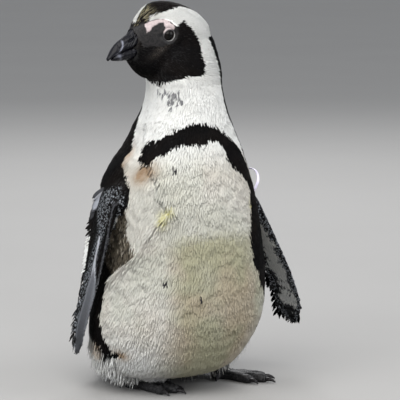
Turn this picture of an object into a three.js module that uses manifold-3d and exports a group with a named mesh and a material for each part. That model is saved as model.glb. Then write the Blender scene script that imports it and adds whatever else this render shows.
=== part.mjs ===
// A life-size African penguin that stands still on both feet and looks over its right shoulder.
// Millimetres, +Z up. The body faces -Y, the bird's left is +X, and the soles stand on z = 0.
import * as THREE from "three";
import { mergeVertices } from "three/addons/utils/BufferGeometryUtils.js";
import Module from "manifold-3d";

const wasm = await Module();
wasm.setup();

// ---- driving sizes ----
const GAP = 0.3; // the thin cut between neighbouring pieces
const BODY_SIDES = 30; // facets around the trunk and the neck
const HEAD_SIDES = 22;
const NECK_CUT_Z = 300; // where the neck is parted from the trunk
const HEAD_CUT_Z = 357; // where the head is parted from the neck
const HEAD_TURN = THREE.MathUtils.degToRad(75); // the head's yaw, towards the bird's right
const HEAD_NOD = THREE.MathUtils.degToRad(15); // the bill points this far below level
const HEAD_TILT = THREE.MathUtils.degToRad(4); // the crown leans towards the bird's front
const HEAD_ORIGIN = new THREE.Vector3(-26, -3, 411); // in the head's middle, level with the eyes
const EYE_RADIUS = 8;
const EYE_AHEAD = -1; // from the head's origin
const EYE_UP = -2;
const EYE_SPREAD = 17.8; // from the head's middle plane to the centre of an eyeball
const FOOT_TOP = 10; // the ankle is parted from the foot at this height
const MIDDLE_TOE = 58; // from the ankle to the root of the claw
const FOOT_BASE = { left: { x: 64, y: 12, turn: 40 }, right: { x: -50, y: 4, turn: 30 } };
// The soft haunches beside the tail, whose long feathers hang almost to the ground.
const HAUNCH = { middleX: -6, spread: 39, y: 48, z: 43.5, side: 40.5, back: 45, high: 42.5 };
const BAND = { chordRadius: 21, depthRadius: 16, width: 3.4, thickness: 1.5 };
const CENTRING = new THREE.Vector3(-25.2, -18.3, 0); // puts the origin at the bottom's middle

// ---- colours ----
const paint = (color, roughness) => new THREE.MeshStandardMaterial({ color, roughness, metalness: 0 });
const WHITE_FEATHER = paint(0xe9e7df, 0.85);
const BLACK_FEATHER = paint(0x1b1a1c, 0.8);
const BLACK_HORN = paint(0x15151a, 0.35);
const DARK_SKIN = paint(0x26262a, 0.6);
const EYE_BROWN = paint(0x120d0b, 0.08);
const BAND_PLASTIC = paint(0xdcd6ee, 0.4);

// ---- shapes ----
// A smooth run through key rows, each an object with the same fields, at the row numbers 0, 1, 2...
function smoothRows(keys) {
  const names = Object.keys(keys[0]);
  const values = keys.flatMap((key) => names.map((name) => key[name]));
  const run = new THREE.CubicInterpolant([...keys.keys()], values, names.length);
  return (row) => Object.fromEntries(Array.from(run.evaluate(row), (v, i) => [names[i], v]));
}

// A closed surface over rings of points, all of one length; each end is closed onto a middle point.
function loft(rings) {
  const sides = rings[0].length;
  const points = rings.flat();
  const index = [];
  for (let row = 0; row + 1 < rings.length; row++) {
    for (let i = 0; i < sides; i++) {
      const [a, b] = [row * sides + i, row * sides + ((i + 1) % sides)];
      index.push(a, b, b + sides, a, b + sides, a + sides);
    }
  }
  for (const [row, from, to] of [[0, 1, 0], [rings.length - 1, 0, 1]]) {
    const middle = rings[row].reduce((sum, p) => sum.add(p), new THREE.Vector3()).divideScalar(sides);
    for (let i = 0; i < sides; i++) {
      index.push(points.length, row * sides + ((i + from) % sides), row * sides + ((i + to) % sides));
    }
    points.push(middle);
  }
  return toSolid(new THREE.BufferGeometry().setFromPoints(points).setIndex(index));
}

function toSolid(geometry) {
  geometry.deleteAttribute("normal");
  geometry.deleteAttribute("uv");
  const merged = mergeVertices(geometry, 1e-3);
  const position = merged.getAttribute("position");
  const corners = Array.from(merged.index.array);
  const p = (k) => new THREE.Vector3().fromBufferAttribute(position, k);
  const triangles = [];
  let volume = 0;
  for (let i = 0; i < corners.length; i += 3) {
    const [a, b, c] = corners.slice(i, i + 3);
    if (a === b || b === c || c === a) continue;
    triangles.push([a, b, c]);
    volume += p(a).dot(p(b).cross(p(c)));
  }
  const outward = volume > 0 ? triangles : triangles.map(([a, b, c]) => [a, c, b]);
  const triVerts = new Uint32Array(outward.flat());
  return new wasm.Manifold(new wasm.Mesh({ numProp: 3, vertProperties: position.array, triVerts }));
}

// An oval ring: halfWidth to each side, front and back from its centre, across the given directions.
function ovalRing(centre, side, ahead, { halfWidth, front, back, squareness = 2.2 }, sides) {
  return Array.from({ length: sides }, (_, i) => {
    const angle = (2 * Math.PI * i) / sides;
    const [c, s] = [Math.cos(angle), Math.sin(angle)];
    const across = Math.sign(c) * Math.abs(c) ** (2 / squareness) * halfWidth;
    const along = Math.sign(s) * Math.abs(s) ** (2 / squareness) * (s > 0 ? front : back);
    return centre.clone().addScaledVector(side, across).addScaledVector(ahead, along);
  });
}

const penguin = new THREE.Group();
function addPiece(name, solid, material, parent = penguin) {
  const { vertProperties, triVerts, numProp } = solid.getMesh();
  const geometry = new THREE.BufferGeometry();
  geometry.setAttribute("position", new THREE.BufferAttribute(new Float32Array(vertProperties), numProp));
  geometry.setIndex(new THREE.BufferAttribute(new Uint32Array(triVerts), 1));
  geometry.computeVertexNormals();
  const mesh = new THREE.Mesh(geometry, material);
  mesh.name = name;
  parent.add(mesh);
}

// The largest of the bodies that a cut leaves, without the crumbs.
const mainBody = (solid) =>
  solid.decompose().reduce((best, body) => (body.volume() > best.volume() ? body : best));

// ---- trunk and neck, in level rings from the belly's underside to the nape ----
const X = new THREE.Vector3(1, 0, 0);
const FORWARD = new THREE.Vector3(0, -1, 0);
const trunkRows = [
  { z: 11.5, x: -14, y: 20, halfWidth: 0, front: 0, back: 0 },
  { z: 15, x: -15, y: 16, halfWidth: 48, front: 44, back: 60 },
  { z: 22, x: -16, y: 8, halfWidth: 68, front: 65, back: 77 },
  { z: 34, x: -12.5, y: 3, halfWidth: 81.5, front: 82, back: 84 },
  { z: 55, x: -8.5, y: 1, halfWidth: 92.5, front: 93, back: 93 },
  { z: 82, x: -2, y: -1, halfWidth: 98.5, front: 100, back: 98 },
  { z: 115, x: 3, y: -2, halfWidth: 97.5, front: 102, back: 99 },
  { z: 150, x: 5, y: -2, halfWidth: 94, front: 100, back: 97 },
  { z: 185, x: 4.5, y: -1, halfWidth: 91.5, front: 96, back: 94 },
  { z: 215, x: 2.2, y: 0, halfWidth: 89.8, front: 91, back: 90 },
  { z: 240, x: 0.8, y: 0, halfWidth: 86.2, front: 84, back: 84 },
  { z: 262, x: 3.8, y: 0, halfWidth: 77.2, front: 75, back: 77 },
  { z: 282, x: 8.5, y: 1, halfWidth: 66.5, front: 66, back: 69 },
  { z: 305, x: 10, y: 2, halfWidth: 56, front: 57, back: 59 },
  { z: 325, x: 12, y: 2, halfWidth: 47.5, front: 50, back: 51 },
  { z: 345, x: 11.5, y: 2, halfWidth: 44, front: 45, back: 46 },
  { z: 366, x: 10, y: 2, halfWidth: 43.5, front: 41, back: 43 },
  { z: 388, x: 9, y: 3, halfWidth: 40.5, front: 34, back: 36 },
  { z: 406, x: 7.5, y: 4, halfWidth: 36.5, front: 27, back: 29 },
  { z: 420, x: 4.5, y: 4, halfWidth: 29, front: 18, back: 20 },
  { z: 429, x: 3, y: 4, halfWidth: 0, front: 0, back: 0 },
];

function bodySolid(grow = 0) {
  const rowAt = smoothRows(trunkRows);
  const rings = [];
  for (let row = 0; row <= trunkRows.length - 1; row += 0.625) {
    const at = rowAt(Math.min(row, trunkRows.length - 1));
    const size = { halfWidth: at.halfWidth + grow, front: at.front + grow, back: at.back + grow };
    rings.push(ovalRing(new THREE.Vector3(at.x, at.y, at.z), X, FORWARD, size, BODY_SIDES));
  }
  return loft(rings).add(haunch(1, grow)).add(haunch(-1, grow));
}

function haunch(sign, grow) {
  const { middleX, spread, y, z, side, back, high } = HAUNCH;
  const ball = new THREE.SphereGeometry(1, 14, 8).rotateX(Math.PI / 2);
  ball.scale(side + grow, back + grow, high + grow);
  return toSolid(ball.translate(middleX + sign * spread, y, z));
}

// ---- head, in upright rings along its own forward line ----
const headFrame = new THREE.Matrix4()
  .makeRotationZ(-HEAD_TURN)
  .multiply(new THREE.Matrix4().makeRotationX(HEAD_NOD))
  .multiply(new THREE.Matrix4().makeRotationY(HEAD_TILT))
  .setPosition(HEAD_ORIGIN);
// A point of the head: ahead along the bill, to the bird's left, and up.
const headPoint = (ahead, left, up) => new THREE.Vector3(left, -ahead, up).applyMatrix4(headFrame);
const headAxis = (ahead, left, up) => new THREE.Vector3(left, -ahead, up).transformDirection(headFrame);
const HEAD_SIDE = headAxis(0, 1, 0);
const HEAD_UP = headAxis(0, 0, 1);

// wideUp is the height of the widest line, and top and bottom are heights on the middle plane.
const headRows = [
  { ahead: -67, halfWidth: 0, wideUp: -14, top: -14, bottom: -14 },
  { ahead: -63, halfWidth: 17.5, wideUp: -14, top: -3, bottom: -28 },
  { ahead: -51, halfWidth: 30.5, wideUp: -15, top: 12, bottom: -40 },
  { ahead: -33, halfWidth: 35, wideUp: -16, top: 25, bottom: -50 },
  { ahead: -15, halfWidth: 31, wideUp: -18, top: 32.5, bottom: -54 },
  { ahead: 0, halfWidth: 26, wideUp: -20, top: 34.5, bottom: -55 },
  { ahead: 12, halfWidth: 23, wideUp: -22, top: 31.5, bottom: -54 },
  { ahead: 23, halfWidth: 20, wideUp: -22, top: 25, bottom: -51 },
  { ahead: 31, halfWidth: 16.5, wideUp: -22, top: 18.5, bottom: -45 },
  { ahead: 38, halfWidth: 12.5, wideUp: -21, top: 10, bottom: -37 },
  { ahead: 44, halfWidth: 7, wideUp: -19, top: -2, bottom: -26 },
  { ahead: 48, halfWidth: 0, wideUp: -18, top: -18, bottom: -18 },
];

function alongHead(rows, grow, sides, step, squareness) {
  const rowAt = smoothRows(rows);
  const rings = [];
  for (let row = 0; row <= rows.length - 1; row += step) {
    const at = rowAt(row);
    const size = {
      halfWidth: at.halfWidth + grow,
      front: at.top - at.wideUp + grow,
      back: at.wideUp - at.bottom + grow,
      squareness,
    };
    rings.push(ovalRing(headPoint(at.ahead, 0, at.wideUp), HEAD_SIDE, HEAD_UP, size, sides));
  }
  return loft(rings);
}
const headSolid = () => alongHead(headRows, 0, HEAD_SIDES, 0.5, 2);

// ---- bill: a hooked upper half over a blunt lower one ----
const upperBillRows = [
  { ahead: 26, halfWidth: 11.2, wideUp: -1, top: 18.5, bottom: -6 },
  { ahead: 34, halfWidth: 9.8, wideUp: -1.5, top: 13, bottom: -6 },
  { ahead: 43, halfWidth: 8.8, wideUp: -2, top: 9.2, bottom: -6 },
  { ahead: 52, halfWidth: 7.8, wideUp: -2.5, top: 7, bottom: -6.2 },
  { ahead: 60, halfWidth: 6.8, wideUp: -3.6, top: 4, bottom: -6.6 },
  { ahead: 66.5, halfWidth: 5.2, wideUp: -5.2, top: -0.4, bottom: -7.6 },
  { ahead: 71, halfWidth: 3.6, wideUp: -7.4, top: -4.8, bottom: -9.8 },
  { ahead: 74, halfWidth: 2.1, wideUp: -9.4, top: -7.6, bottom: -11.8 },
  { ahead: 75, halfWidth: 0, wideUp: -11, top: -11, bottom: -11 },
];
const lowerBillRows = [
  { ahead: 26, halfWidth: 10.6, wideUp: -9, top: -6.3, bottom: -19.6 },
  { ahead: 36, halfWidth: 9.7, wideUp: -9.4, top: -6.3, bottom: -19.6 },
  { ahead: 47, halfWidth: 8.3, wideUp: -9.8, top: -6.4, bottom: -19 },
  { ahead: 56, halfWidth: 7, wideUp: -10, top: -6.8, bottom: -17.4 },
  { ahead: 63.5, halfWidth: 5.4, wideUp: -10.4, top: -7.8, bottom: -15 },
  { ahead: 68, halfWidth: 3.2, wideUp: -11.2, top: -9.4, bottom: -13.4 },
  { ahead: 70, halfWidth: 0, wideUp: -11.8, top: -11.8, bottom: -11.8 },
];
const BILL_SIDES = 14;
const upperBill = (grow = 0) => alongHead(upperBillRows, grow, BILL_SIDES, 0.5, 1.7);
const lowerBill = (grow = 0) => alongHead(lowerBillRows, grow, BILL_SIDES, 0.5, 1.9);

function eyeball(side, grow = 0) {
  const ball = new THREE.SphereGeometry(EYE_RADIUS + grow, 12, 8);
  const centre = headPoint(EYE_AHEAD, side * EYE_SPREAD, EYE_UP);
  return toSolid(ball.rotateZ(-HEAD_TURN).translate(centre.x, centre.y, centre.z));
}

// ---- flippers: a teardrop section along a bent axis ----
const flipperRows = [
  { lead: 15, trail: 17, thick: 25 },
  { lead: 21, trail: 26, thick: 20 },
  { lead: 24, trail: 33, thick: 13.5 },
  { lead: 25, trail: 35, thick: 10.5 },
  { lead: 24, trail: 32, thick: 8.5 },
  { lead: 22, trail: 29, thick: 6.8 },
  { lead: 18, trail: 26, thick: 5 },
  { lead: 0, trail: 0, thick: 0 },
];
const FLIPPER_SIDES = 18;
const flipperAxes = {
  right: [[-52, -2, 256], [-87, -18, 228], [-97, -6, 180], [-103, 9, 125], [-110, 19, 80], [-114.9, 26, 40]],
  left: [[60, -8, 250], [87, -2, 215], [111.5, 6, 172], [137, 14, 127], [156, 21, 87], [163.5, 25, 54]],
};
// The way from the leading edge to the trailing one, at the root and at the tip.
const flipperChord = {
  right: [new THREE.Vector3(-0.06, 1, 0.1), new THREE.Vector3(0.16, 1, 0.1)],
  left: [new THREE.Vector3(-0.2, 1, 0.12), new THREE.Vector3(-0.42, 1, 0.12)],
};

function flipper(side) {
  const axis = new THREE.CatmullRomCurve3(flipperAxes[side].map((p) => new THREE.Vector3(...p)));
  const rowAt = smoothRows(flipperRows);
  const last = flipperRows.length - 1;
  const rings = [];
  for (let row = 0; row <= last; row += 0.5) {
    // The last rows crowd towards the tip, which makes it round.
    const along = row < last - 1 ? (row / (last - 1)) * 0.93 : 1 - 0.07 * (last - row) ** 2;
    const { lead, trail, thick } = rowAt(row);
    const span = axis.getTangentAt(along);
    const chordWay = flipperChord[side][0].clone().lerp(flipperChord[side][1], along);
    const back = chordWay.addScaledVector(span, -span.dot(chordWay)).normalize();
    const outward = new THREE.Vector3().crossVectors(span, back);
    const centre = axis.getPointAt(along);
    rings.push(
      Array.from({ length: FLIPPER_SIDES }, (_, i) => {
        const angle = (2 * Math.PI * i) / FLIPPER_SIDES;
        const [c, s] = [Math.cos(angle), Math.sin(angle)];
        const chord = c < 0 ? c * lead : c * trail;
        const depth = (thick / 2) * s * (0.66 - 0.34 * c);
        return centre.clone().addScaledVector(back, chord).addScaledVector(outward, depth);
      }),
    );
  }
  return loft(rings);
}

// The ring that the bird wears round the root of its left flipper.
function bandSolid(grow = 0) {
  const centre = new THREE.Vector3(90, -4, 228.5);
  const chord = new THREE.Vector3(-0.1, 1, 0.05).normalize();
  const outward = new THREE.Vector3(0.4, 0, 0.92);
  outward.addScaledVector(chord, -outward.dot(chord)).normalize();
  const along = new THREE.Vector3().crossVectors(chord, outward);
  const [halfWidth, halfThick] = [BAND.width / 2 + grow, BAND.thickness / 2 + grow];
  const turns = 36;
  const points = [];
  const index = [];
  for (let i = 0; i < turns; i++) {
    const angle = (2 * Math.PI * i) / turns;
    for (const [w, t] of [[-1, -1], [1, -1], [1, 1], [-1, 1]]) {
      const point = centre.clone().addScaledVector(along, w * halfWidth);
      point.addScaledVector(chord, Math.cos(angle) * (BAND.chordRadius + t * halfThick));
      points.push(point.addScaledVector(outward, Math.sin(angle) * (BAND.depthRadius + t * halfThick)));
    }
    for (let k = 0; k < 4; k++) {
      const [a, b] = [4 * i + k, 4 * i + ((k + 1) % 4)];
      const [c, d] = [(a + 4) % (4 * turns), (b + 4) % (4 * turns)];
      index.push(a, b, d, a, d, c);
    }
  }
  return toSolid(new THREE.BufferGeometry().setFromPoints(points).setIndex(index));
}

// ---- tail: a stiff flat wedge ----
const tailRows = [
  { x: -4, y: 58, z: 84, halfWidth: 36, thick: 46 },
  { x: -7, y: 88, z: 56, halfWidth: 31, thick: 30 },
  { x: -10, y: 110, z: 34, halfWidth: 25, thick: 16 },
  { x: -13, y: 126, z: 18, halfWidth: 19, thick: 8 },
  { x: -15, y: 136, z: 8, halfWidth: 12, thick: 3 },
  { x: -16, y: 140, z: 4, halfWidth: 0, thick: 0 },
];
function tailSolid() {
  const rowAt = smoothRows(tailRows);
  const upward = new THREE.Vector3(0, 0.66, 0.75);
  const rings = [];
  for (let row = 0; row <= tailRows.length - 1; row += 0.5) {
    const { x, y, z, halfWidth, thick } = rowAt(row);
    const size = { halfWidth, front: thick / 2, back: thick / 2, squareness: 2 };
    rings.push(ovalRing(new THREE.Vector3(x, y, z), X, upward, size, 20));
  }
  return loft(rings);
}

// ---- legs and feet: three webbed toes and a small hind toe, each with a claw ----
const toes = [
  { name: "inner", inward: 19, reach: 0.8, halfWidth: 5.6, height: 9 },
  { name: "middle", inward: 2, reach: 1, halfWidth: 6.2, height: 9.5 },
  { name: "outer", inward: -16, reach: 0.88, halfWidth: 5.8, height: 9 },
];
const HEEL = 12; // how far the foot reaches behind the ankle

// Rings across a toe's own line, from a start point, in the foot's own frame: ahead is -Y.
function alongToe(heading, start, rows, sides = 12) {
  const angle = THREE.MathUtils.degToRad(heading);
  const ahead = new THREE.Vector3(Math.sin(angle), -Math.cos(angle), 0);
  const across = new THREE.Vector3(Math.cos(angle), Math.sin(angle), 0);
  const up = new THREE.Vector3(0, 0, 1);
  const rings = rows.map(({ at, z, halfWidth, halfHeight }) => {
    const centre = start.clone().addScaledVector(ahead, at).setZ(z);
    const size = { halfWidth, front: halfHeight, back: halfHeight, squareness: 2 };
    return ovalRing(centre, across, up, size, sides);
  });
  return loft(rings);
}

function toeSolid(toe, inwardSign) {
  const length = MIDDLE_TOE * toe.reach;
  const { halfWidth, height } = toe;
  const rows = [
    { at: -HEEL, z: 4, halfWidth: 3, halfHeight: 3 },
    { at: -HEEL * 0.5, z: 5, halfWidth: 7.5, halfHeight: 5.4 },
    { at: length * 0.12, z: 6, halfWidth: 7, halfHeight: 6.6 },
    { at: length * 0.4, z: height / 2, halfWidth: halfWidth - 0.4, halfHeight: height / 2 + 0.6 },
    { at: length * 0.58, z: height / 2, halfWidth: halfWidth + 0.5, halfHeight: height / 2 + 0.8 },
    { at: length * 0.75, z: height / 2 - 0.4, halfWidth: halfWidth - 0.6, halfHeight: height / 2 },
    { at: length * 0.9, z: height / 2 - 0.5, halfWidth, halfHeight: height / 2 },
    { at: length, z: height / 2 - 1, halfWidth: halfWidth - 1.8, halfHeight: height / 2 - 1 },
  ];
  return alongToe(toe.inward * inwardSign, new THREE.Vector3(), rows, 10);
}

function clawSolid(toe, inwardSign) {
  const tip = MIDDLE_TOE * toe.reach + GAP;
  const rows = [
    { at: tip, z: 4, halfWidth: 2.9, halfHeight: 2.7 },
    { at: tip + 4, z: 4.2, halfWidth: 2.4, halfHeight: 2.3 },
    { at: tip + 8, z: 3.4, halfWidth: 1.7, halfHeight: 1.7 },
    { at: tip + 11.5, z: 1.6, halfWidth: 0.7, halfHeight: 0.9 },
  ];
  return alongToe(toe.inward * inwardSign, new THREE.Vector3(), rows, 8);
}

// The web between two toes: a thin plate whose front edge sags back between them.
function webSolid(one, other, inwardSign) {
  const edge = (toe, share) => {
    const angle = THREE.MathUtils.degToRad(toe.inward * inwardSign);
    const reach = MIDDLE_TOE * toe.reach * share;
    return new THREE.Vector2(Math.sin(angle) * reach, -Math.cos(angle) * reach);
  };
  const outline = new THREE.Shape();
  const [a, b] = [edge(one, 0.88), edge(other, 0.88)];
  const sag = a.clone().add(b).multiplyScalar(0.42);
  outline.moveTo(0, 4);
  outline.lineTo(a.x, a.y);
  outline.quadraticCurveTo(sag.x, sag.y, b.x, b.y);
  outline.lineTo(0, 4);
  return toSolid(new THREE.ExtrudeGeometry(outline, { depth: 3.2, bevelEnabled: false, curveSegments: 6 }));
}

// The small hind toe leaves the inner side of the ankle and points inward and ahead.
function hindToe(inwardSign, isClaw) {
  const start = new THREE.Vector3(inwardSign * 5, 2, 0);
  const rows = isClaw
    ? [
        { at: 15 + GAP, z: 3.2, halfWidth: 1.7, halfHeight: 1.6 },
        { at: 19, z: 2.6, halfWidth: 1.1, halfHeight: 1.1 },
        { at: 22, z: 1.2, halfWidth: 0.5, halfHeight: 0.6 },
      ]
    : [
        { at: 0, z: 5.5, halfWidth: 4, halfHeight: 4 },
        { at: 8, z: 4, halfWidth: 3.4, halfHeight: 3.4 },
        { at: 15, z: 3.2, halfWidth: 2.5, halfHeight: 2.4 },
      ];
  return alongToe(72 * inwardSign, start, rows, 10);
}

// The swelling where the toes meet under the shank.
function ankleSolid() {
  const rows = [
    { z: -1, halfWidth: 8, front: 10, back: 13 },
    { z: 5, halfWidth: 10, front: 12, back: 14 },
    { z: 16, halfWidth: 9, front: 10, back: 11 },
  ];
  return loft(rows.map(({ z, ...size }) => ovalRing(new THREE.Vector3(0, 0, z), X, FORWARD, size, 16)));
}

// The shank, from the ankle up to where the belly's feathers hide it.
function shankSolid(side, top) {
  const { x, y } = FOOT_BASE[side];
  const rows = [
    { z: 0, halfWidth: 10, front: 10, back: 12 },
    { z: 0.3, halfWidth: 9.4, front: 9.5, back: 11 },
    { z: 0.6, halfWidth: 11, front: 11, back: 12 },
    { z: 1, halfWidth: 17, front: 16, back: 17 },
  ];
  const rings = rows.map(({ z, ...size }) =>
    ovalRing(new THREE.Vector3(x * (1 - 0.06 * z), y, z * top), X, FORWARD, size, 16),
  );
  return loft(rings);
}

// ---- put together, each piece cut clear of the ones it meets ----
const below = (solid, z) => solid.trimByPlane([0, 0, -1], -z);
const above = (solid, z) => solid.trimByPlane([0, 0, 1], z);

const body = bodySolid();
const bodyGrown = bodySolid(GAP);
const bandSlot = bandSolid(GAP);
const billSlot = upperBill(GAP).add(lowerBill(GAP));

const flesh = body.add(headSolid()).subtract(billSlot);
const neck = below(above(flesh, NECK_CUT_Z + GAP / 2), HEAD_CUT_Z - GAP / 2);
const sockets = eyeball(1, GAP).add(eyeball(-1, GAP));
addPiece("trunk", mainBody(below(flesh, NECK_CUT_Z - GAP / 2).subtract(bandSlot)), WHITE_FEATHER);
addPiece("neck", mainBody(neck), WHITE_FEATHER);
addPiece("head", mainBody(above(flesh, HEAD_CUT_Z + GAP / 2).subtract(sockets)), BLACK_FEATHER);
addPiece("bill_upper", upperBill(), BLACK_HORN);
addPiece("bill_lower", lowerBill().subtract(upperBill(GAP)), BLACK_HORN);
addPiece("eye_left", eyeball(1), EYE_BROWN);
addPiece("eye_right", eyeball(-1), EYE_BROWN);
addPiece("tail", mainBody(tailSolid().subtract(bodyGrown)), BLACK_FEATHER);
addPiece("wing_left", mainBody(flipper("left").subtract(bodyGrown).subtract(bandSlot)), BLACK_FEATHER);
addPiece("wing_right", mainBody(flipper("right").subtract(bodyGrown)), BLACK_FEATHER);
addPiece("flipper_band", bandSolid(), BAND_PLASTIC);

for (const side of ["left", "right"]) {
  const leg = above(shankSolid(side, 60), FOOT_TOP + GAP).subtract(bodyGrown);
  addPiece("leg_" + side, mainBody(leg), DARK_SKIN);

  const foot = new THREE.Group();
  foot.position.set(FOOT_BASE[side].x, FOOT_BASE[side].y, 0);
  foot.rotation.z = THREE.MathUtils.degToRad(FOOT_BASE[side].turn);
  penguin.add(foot);
  const inwardSign = side === "left" ? -1 : 1;
  const solids = toes.map((toe) => toeSolid(toe, inwardSign));
  solids.push(webSolid(toes[0], toes[1], inwardSign), webSolid(toes[1], toes[2], inwardSign));
  solids.push(hindToe(inwardSign, false), ankleSolid());
  const whole = solids.reduce((sum, solid) => sum.add(solid));
  addPiece("foot_" + side, mainBody(below(above(whole, 0), FOOT_TOP)), DARK_SKIN, foot);
  for (const toe of toes) {
    addPiece("claw_" + side + "_" + toe.name, clawSolid(toe, inwardSign), BLACK_HORN, foot);
  }
  addPiece("claw_" + side + "_hind", hindToe(inwardSign, true), BLACK_HORN, foot);
}

penguin.position.copy(CENTRING);
export default penguin;
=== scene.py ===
"""A life-size African penguin: one feathered skin, its coat of solid vanes, bill, eyes, lids, claws and
flipper band, on a plain floor. Sizes are in millimetres until a mesh is written, which is in metres."""

import math

import bmesh
import bpy
import numpy as np
from bpy.props import FloatProperty, FloatVectorProperty, IntProperty, PointerProperty
from mathutils import Matrix, Vector, noise
from mathutils.bvhtree import BVHTree


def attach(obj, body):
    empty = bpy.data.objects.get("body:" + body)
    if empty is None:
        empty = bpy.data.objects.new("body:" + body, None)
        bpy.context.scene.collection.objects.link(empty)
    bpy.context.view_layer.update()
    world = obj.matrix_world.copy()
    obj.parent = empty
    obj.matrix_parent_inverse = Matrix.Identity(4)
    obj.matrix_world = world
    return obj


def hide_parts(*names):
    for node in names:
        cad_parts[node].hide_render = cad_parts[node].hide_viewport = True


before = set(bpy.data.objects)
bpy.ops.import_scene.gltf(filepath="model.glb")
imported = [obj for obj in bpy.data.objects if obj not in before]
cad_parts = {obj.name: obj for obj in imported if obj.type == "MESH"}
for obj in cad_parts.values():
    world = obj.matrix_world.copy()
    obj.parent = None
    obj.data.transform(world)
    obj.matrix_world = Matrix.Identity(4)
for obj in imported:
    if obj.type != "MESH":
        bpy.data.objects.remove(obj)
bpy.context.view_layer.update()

bl_info = {
    "name": "African penguin",
    "version": (1, 0, 0),
    "blender": (4, 5, 0),
    "location": "3D View > Sidebar > Penguin",
    "description": "Builds the plumage, bill, eyes, claws and band of a standing penguin",
    "category": "Add Mesh",
}

MM = 0.001
MERGE = 1e-5  # metres within which loose corners are one

# ---- where things are, in millimetres of the frame ----
SHIFT = np.array((-25.2, -18.3, 0.0))  # from the body's own layout to the frame
BODY_MIDDLE = np.array((-21.2, -18.3))
HEAD_ORIGIN = np.array((-51.2, -21.3, 411.0))
HEAD_AXES = np.array(
    Matrix.Rotation(math.radians(-75), 3, "Z")
    @ Matrix.Rotation(math.radians(15), 3, "X")
    @ Matrix.Rotation(math.radians(4), 3, "Y")
)  # columns: left, back, up
EYE_AHEAD, EYE_UP, EYE_SPREAD, EYE_RADIUS = -1.0, -2.0, 17.8, 8.0
EYE_TURN = math.radians(12)  # the eye looks this much ahead of sideways
FLIPPER_AXES = {
    "right": (
        (-52, -2, 256), (-87, -18, 228), (-97, -6, 180), (-103, 9, 125), (-110, 19, 80), (-114.9, 26, 40),
    ),
    "left": ((60, -8, 250), (87, -2, 215), (111.5, 6, 172), (137, 14, 127), (156, 21, 87), (163.5, 25, 54)),
}
FLIPPER_CHORD = {  # the way from the leading edge to the hind one, at the root and at the tip
    "right": ((-0.06, 1, 0.1), (0.16, 1, 0.1)), "left": ((-0.2, 1, 0.12), (-0.42, 1, 0.12)),
}
# Shares of a flipper's span, and how far its leading and hind edges lie from its axis there.
FLIPPER_SHARE = (0, 0.155, 0.31, 0.465, 0.62, 0.775, 0.93, 1)
FLIPPER_LEAD = (15, 21, 24, 25, 24, 22, 18, 1)
FLIPPER_TRAIL = (17, 26, 33, 35, 32, 29, 26, 1)
AXIS_POINTS = 70  # on a flipper's axis, where the nearest one is looked for
TAIL_WAY = np.array((-0.10, 0.71, -0.70))
FLESH = {  # how deep the coat is over the skin, and its feathers' length, width and lift
    "trunk": (1.9, 9.0, 2.4, 0.05), "neck": (1.5, 6.4, 2.0, 0.045), "head": (0.9, 2.9, 1.15, 0.09),
    "tail": (1.2, 11.0, 3.4, 0.05),
    "wing_left": (0.9, 4.2, 1.7, 0.05), "wing_right": (0.9, 4.2, 1.7, 0.05),
    "leg_left": (1.2, 7.0, 2.2, 0.12), "leg_right": (1.2, 7.0, 2.2, 0.12),
    "foot_left": (0.0, 3.0, 1.0, 0.1), "foot_right": (0.0, 3.0, 1.0, 0.1),
}
COAT_DEPTH, VANE_LENGTH, VANE_WIDTH, VANE_LIFT = np.array(tuple(FLESH.values())).T
TRUNK, NECK, HEAD, TAIL, WING_LEFT, WING_RIGHT, LEG_LEFT, LEG_RIGHT, FOOT_LEFT, FOOT_RIGHT = range(10)

# ---- markings: outlines in degrees round the body (0 is the breast, + the bird's left) and height ----
BREAST_BAND = (
    (-63, 283), (-57, 288), (-49, 291), (-40, 295), (-29, 301), (-17, 305), (-9, 308), (2, 309),
    (11, 308), (17, 304), (25, 303), (32, 297), (41, 288), (49, 278), (56, 265), (62, 245), (66, 222),
    (68, 190), (68, 150), (67, 110), (64, 80), (60, 55), (54, 40), (48, 42), (55, 60), (58, 85),
    (55, 105), (40, 124), (38, 136), (31, 153), (31, 178), (41, 221), (45, 238), (37, 249), (29, 259),
    (24, 268), (24, 279), (20, 287), (11, 290), (0, 283), (-18, 284), (-33, 279), (-40, 274),
    (-46, 272), (-49, 265), (-57, 262), (-66, 269), (-67, 277),
)
BACK = (  # degrees run on from 0 to 360
    (57, 404), (57, 396), (56, 386), (55, 372), (55, 360), (56, 348), (55, 336), (54, 325), (55, 314),
    (58, 303), (61, 290), (60, 279), (58, 268), (66, 250), (78, 235), (86, 200), (92, 150), (98, 100),
    (104, 60), (112, 30), (120, 5), (225, 5), (228, 30), (232, 70), (240, 110), (252, 132), (262, 142),
    (268, 165), (272, 192), (282, 208), (292, 206), (295, 215), (298, 226), (297, 237), (291, 247),
    (286, 252), (277, 262), (274, 272), (275, 278), (268, 288), (261, 298), (255, 309), (240, 320),
    (225, 334), (205, 345), (190, 372), (160, 398), (100, 404),
)
FLANK_STRIPE = (
    (-80, 138), (-82, 124), (-83, 113), (-84, 101), (-84, 89), (-82, 79), (-79, 69), (-75, 59),
    (-72, 51), (-62, 54), (-70, 44), (-76, 40), (-84, 39), (-85, 47), (-93, 51), (-102, 58), (-112, 64),
    (-118, 90), (-120, 120), (-114, 146), (-98, 150),
)
PARTING = (  # the raised edge of the belly's feathers, from the breast down to the flank
    (-52, 266), (-44, 252), (-40, 243), (-41, 232), (-36, 224), (-33, 215), (-40, 204), (-47, 189),
    (-50, 177), (-54, 166), (-61, 157), (-71, 145), (-82, 134), (-88, 124), (-91, 108), (-91, 89),
    (-84, 69), (-78, 45),
)
SOILED = (
    (-66, 262), (-46, 262), (-40, 243), (-41, 232), (-33, 216), (-40, 204), (-50, 177), (-57, 160),
    (-64, 175), (-66, 203), (-64, 240),
)
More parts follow.
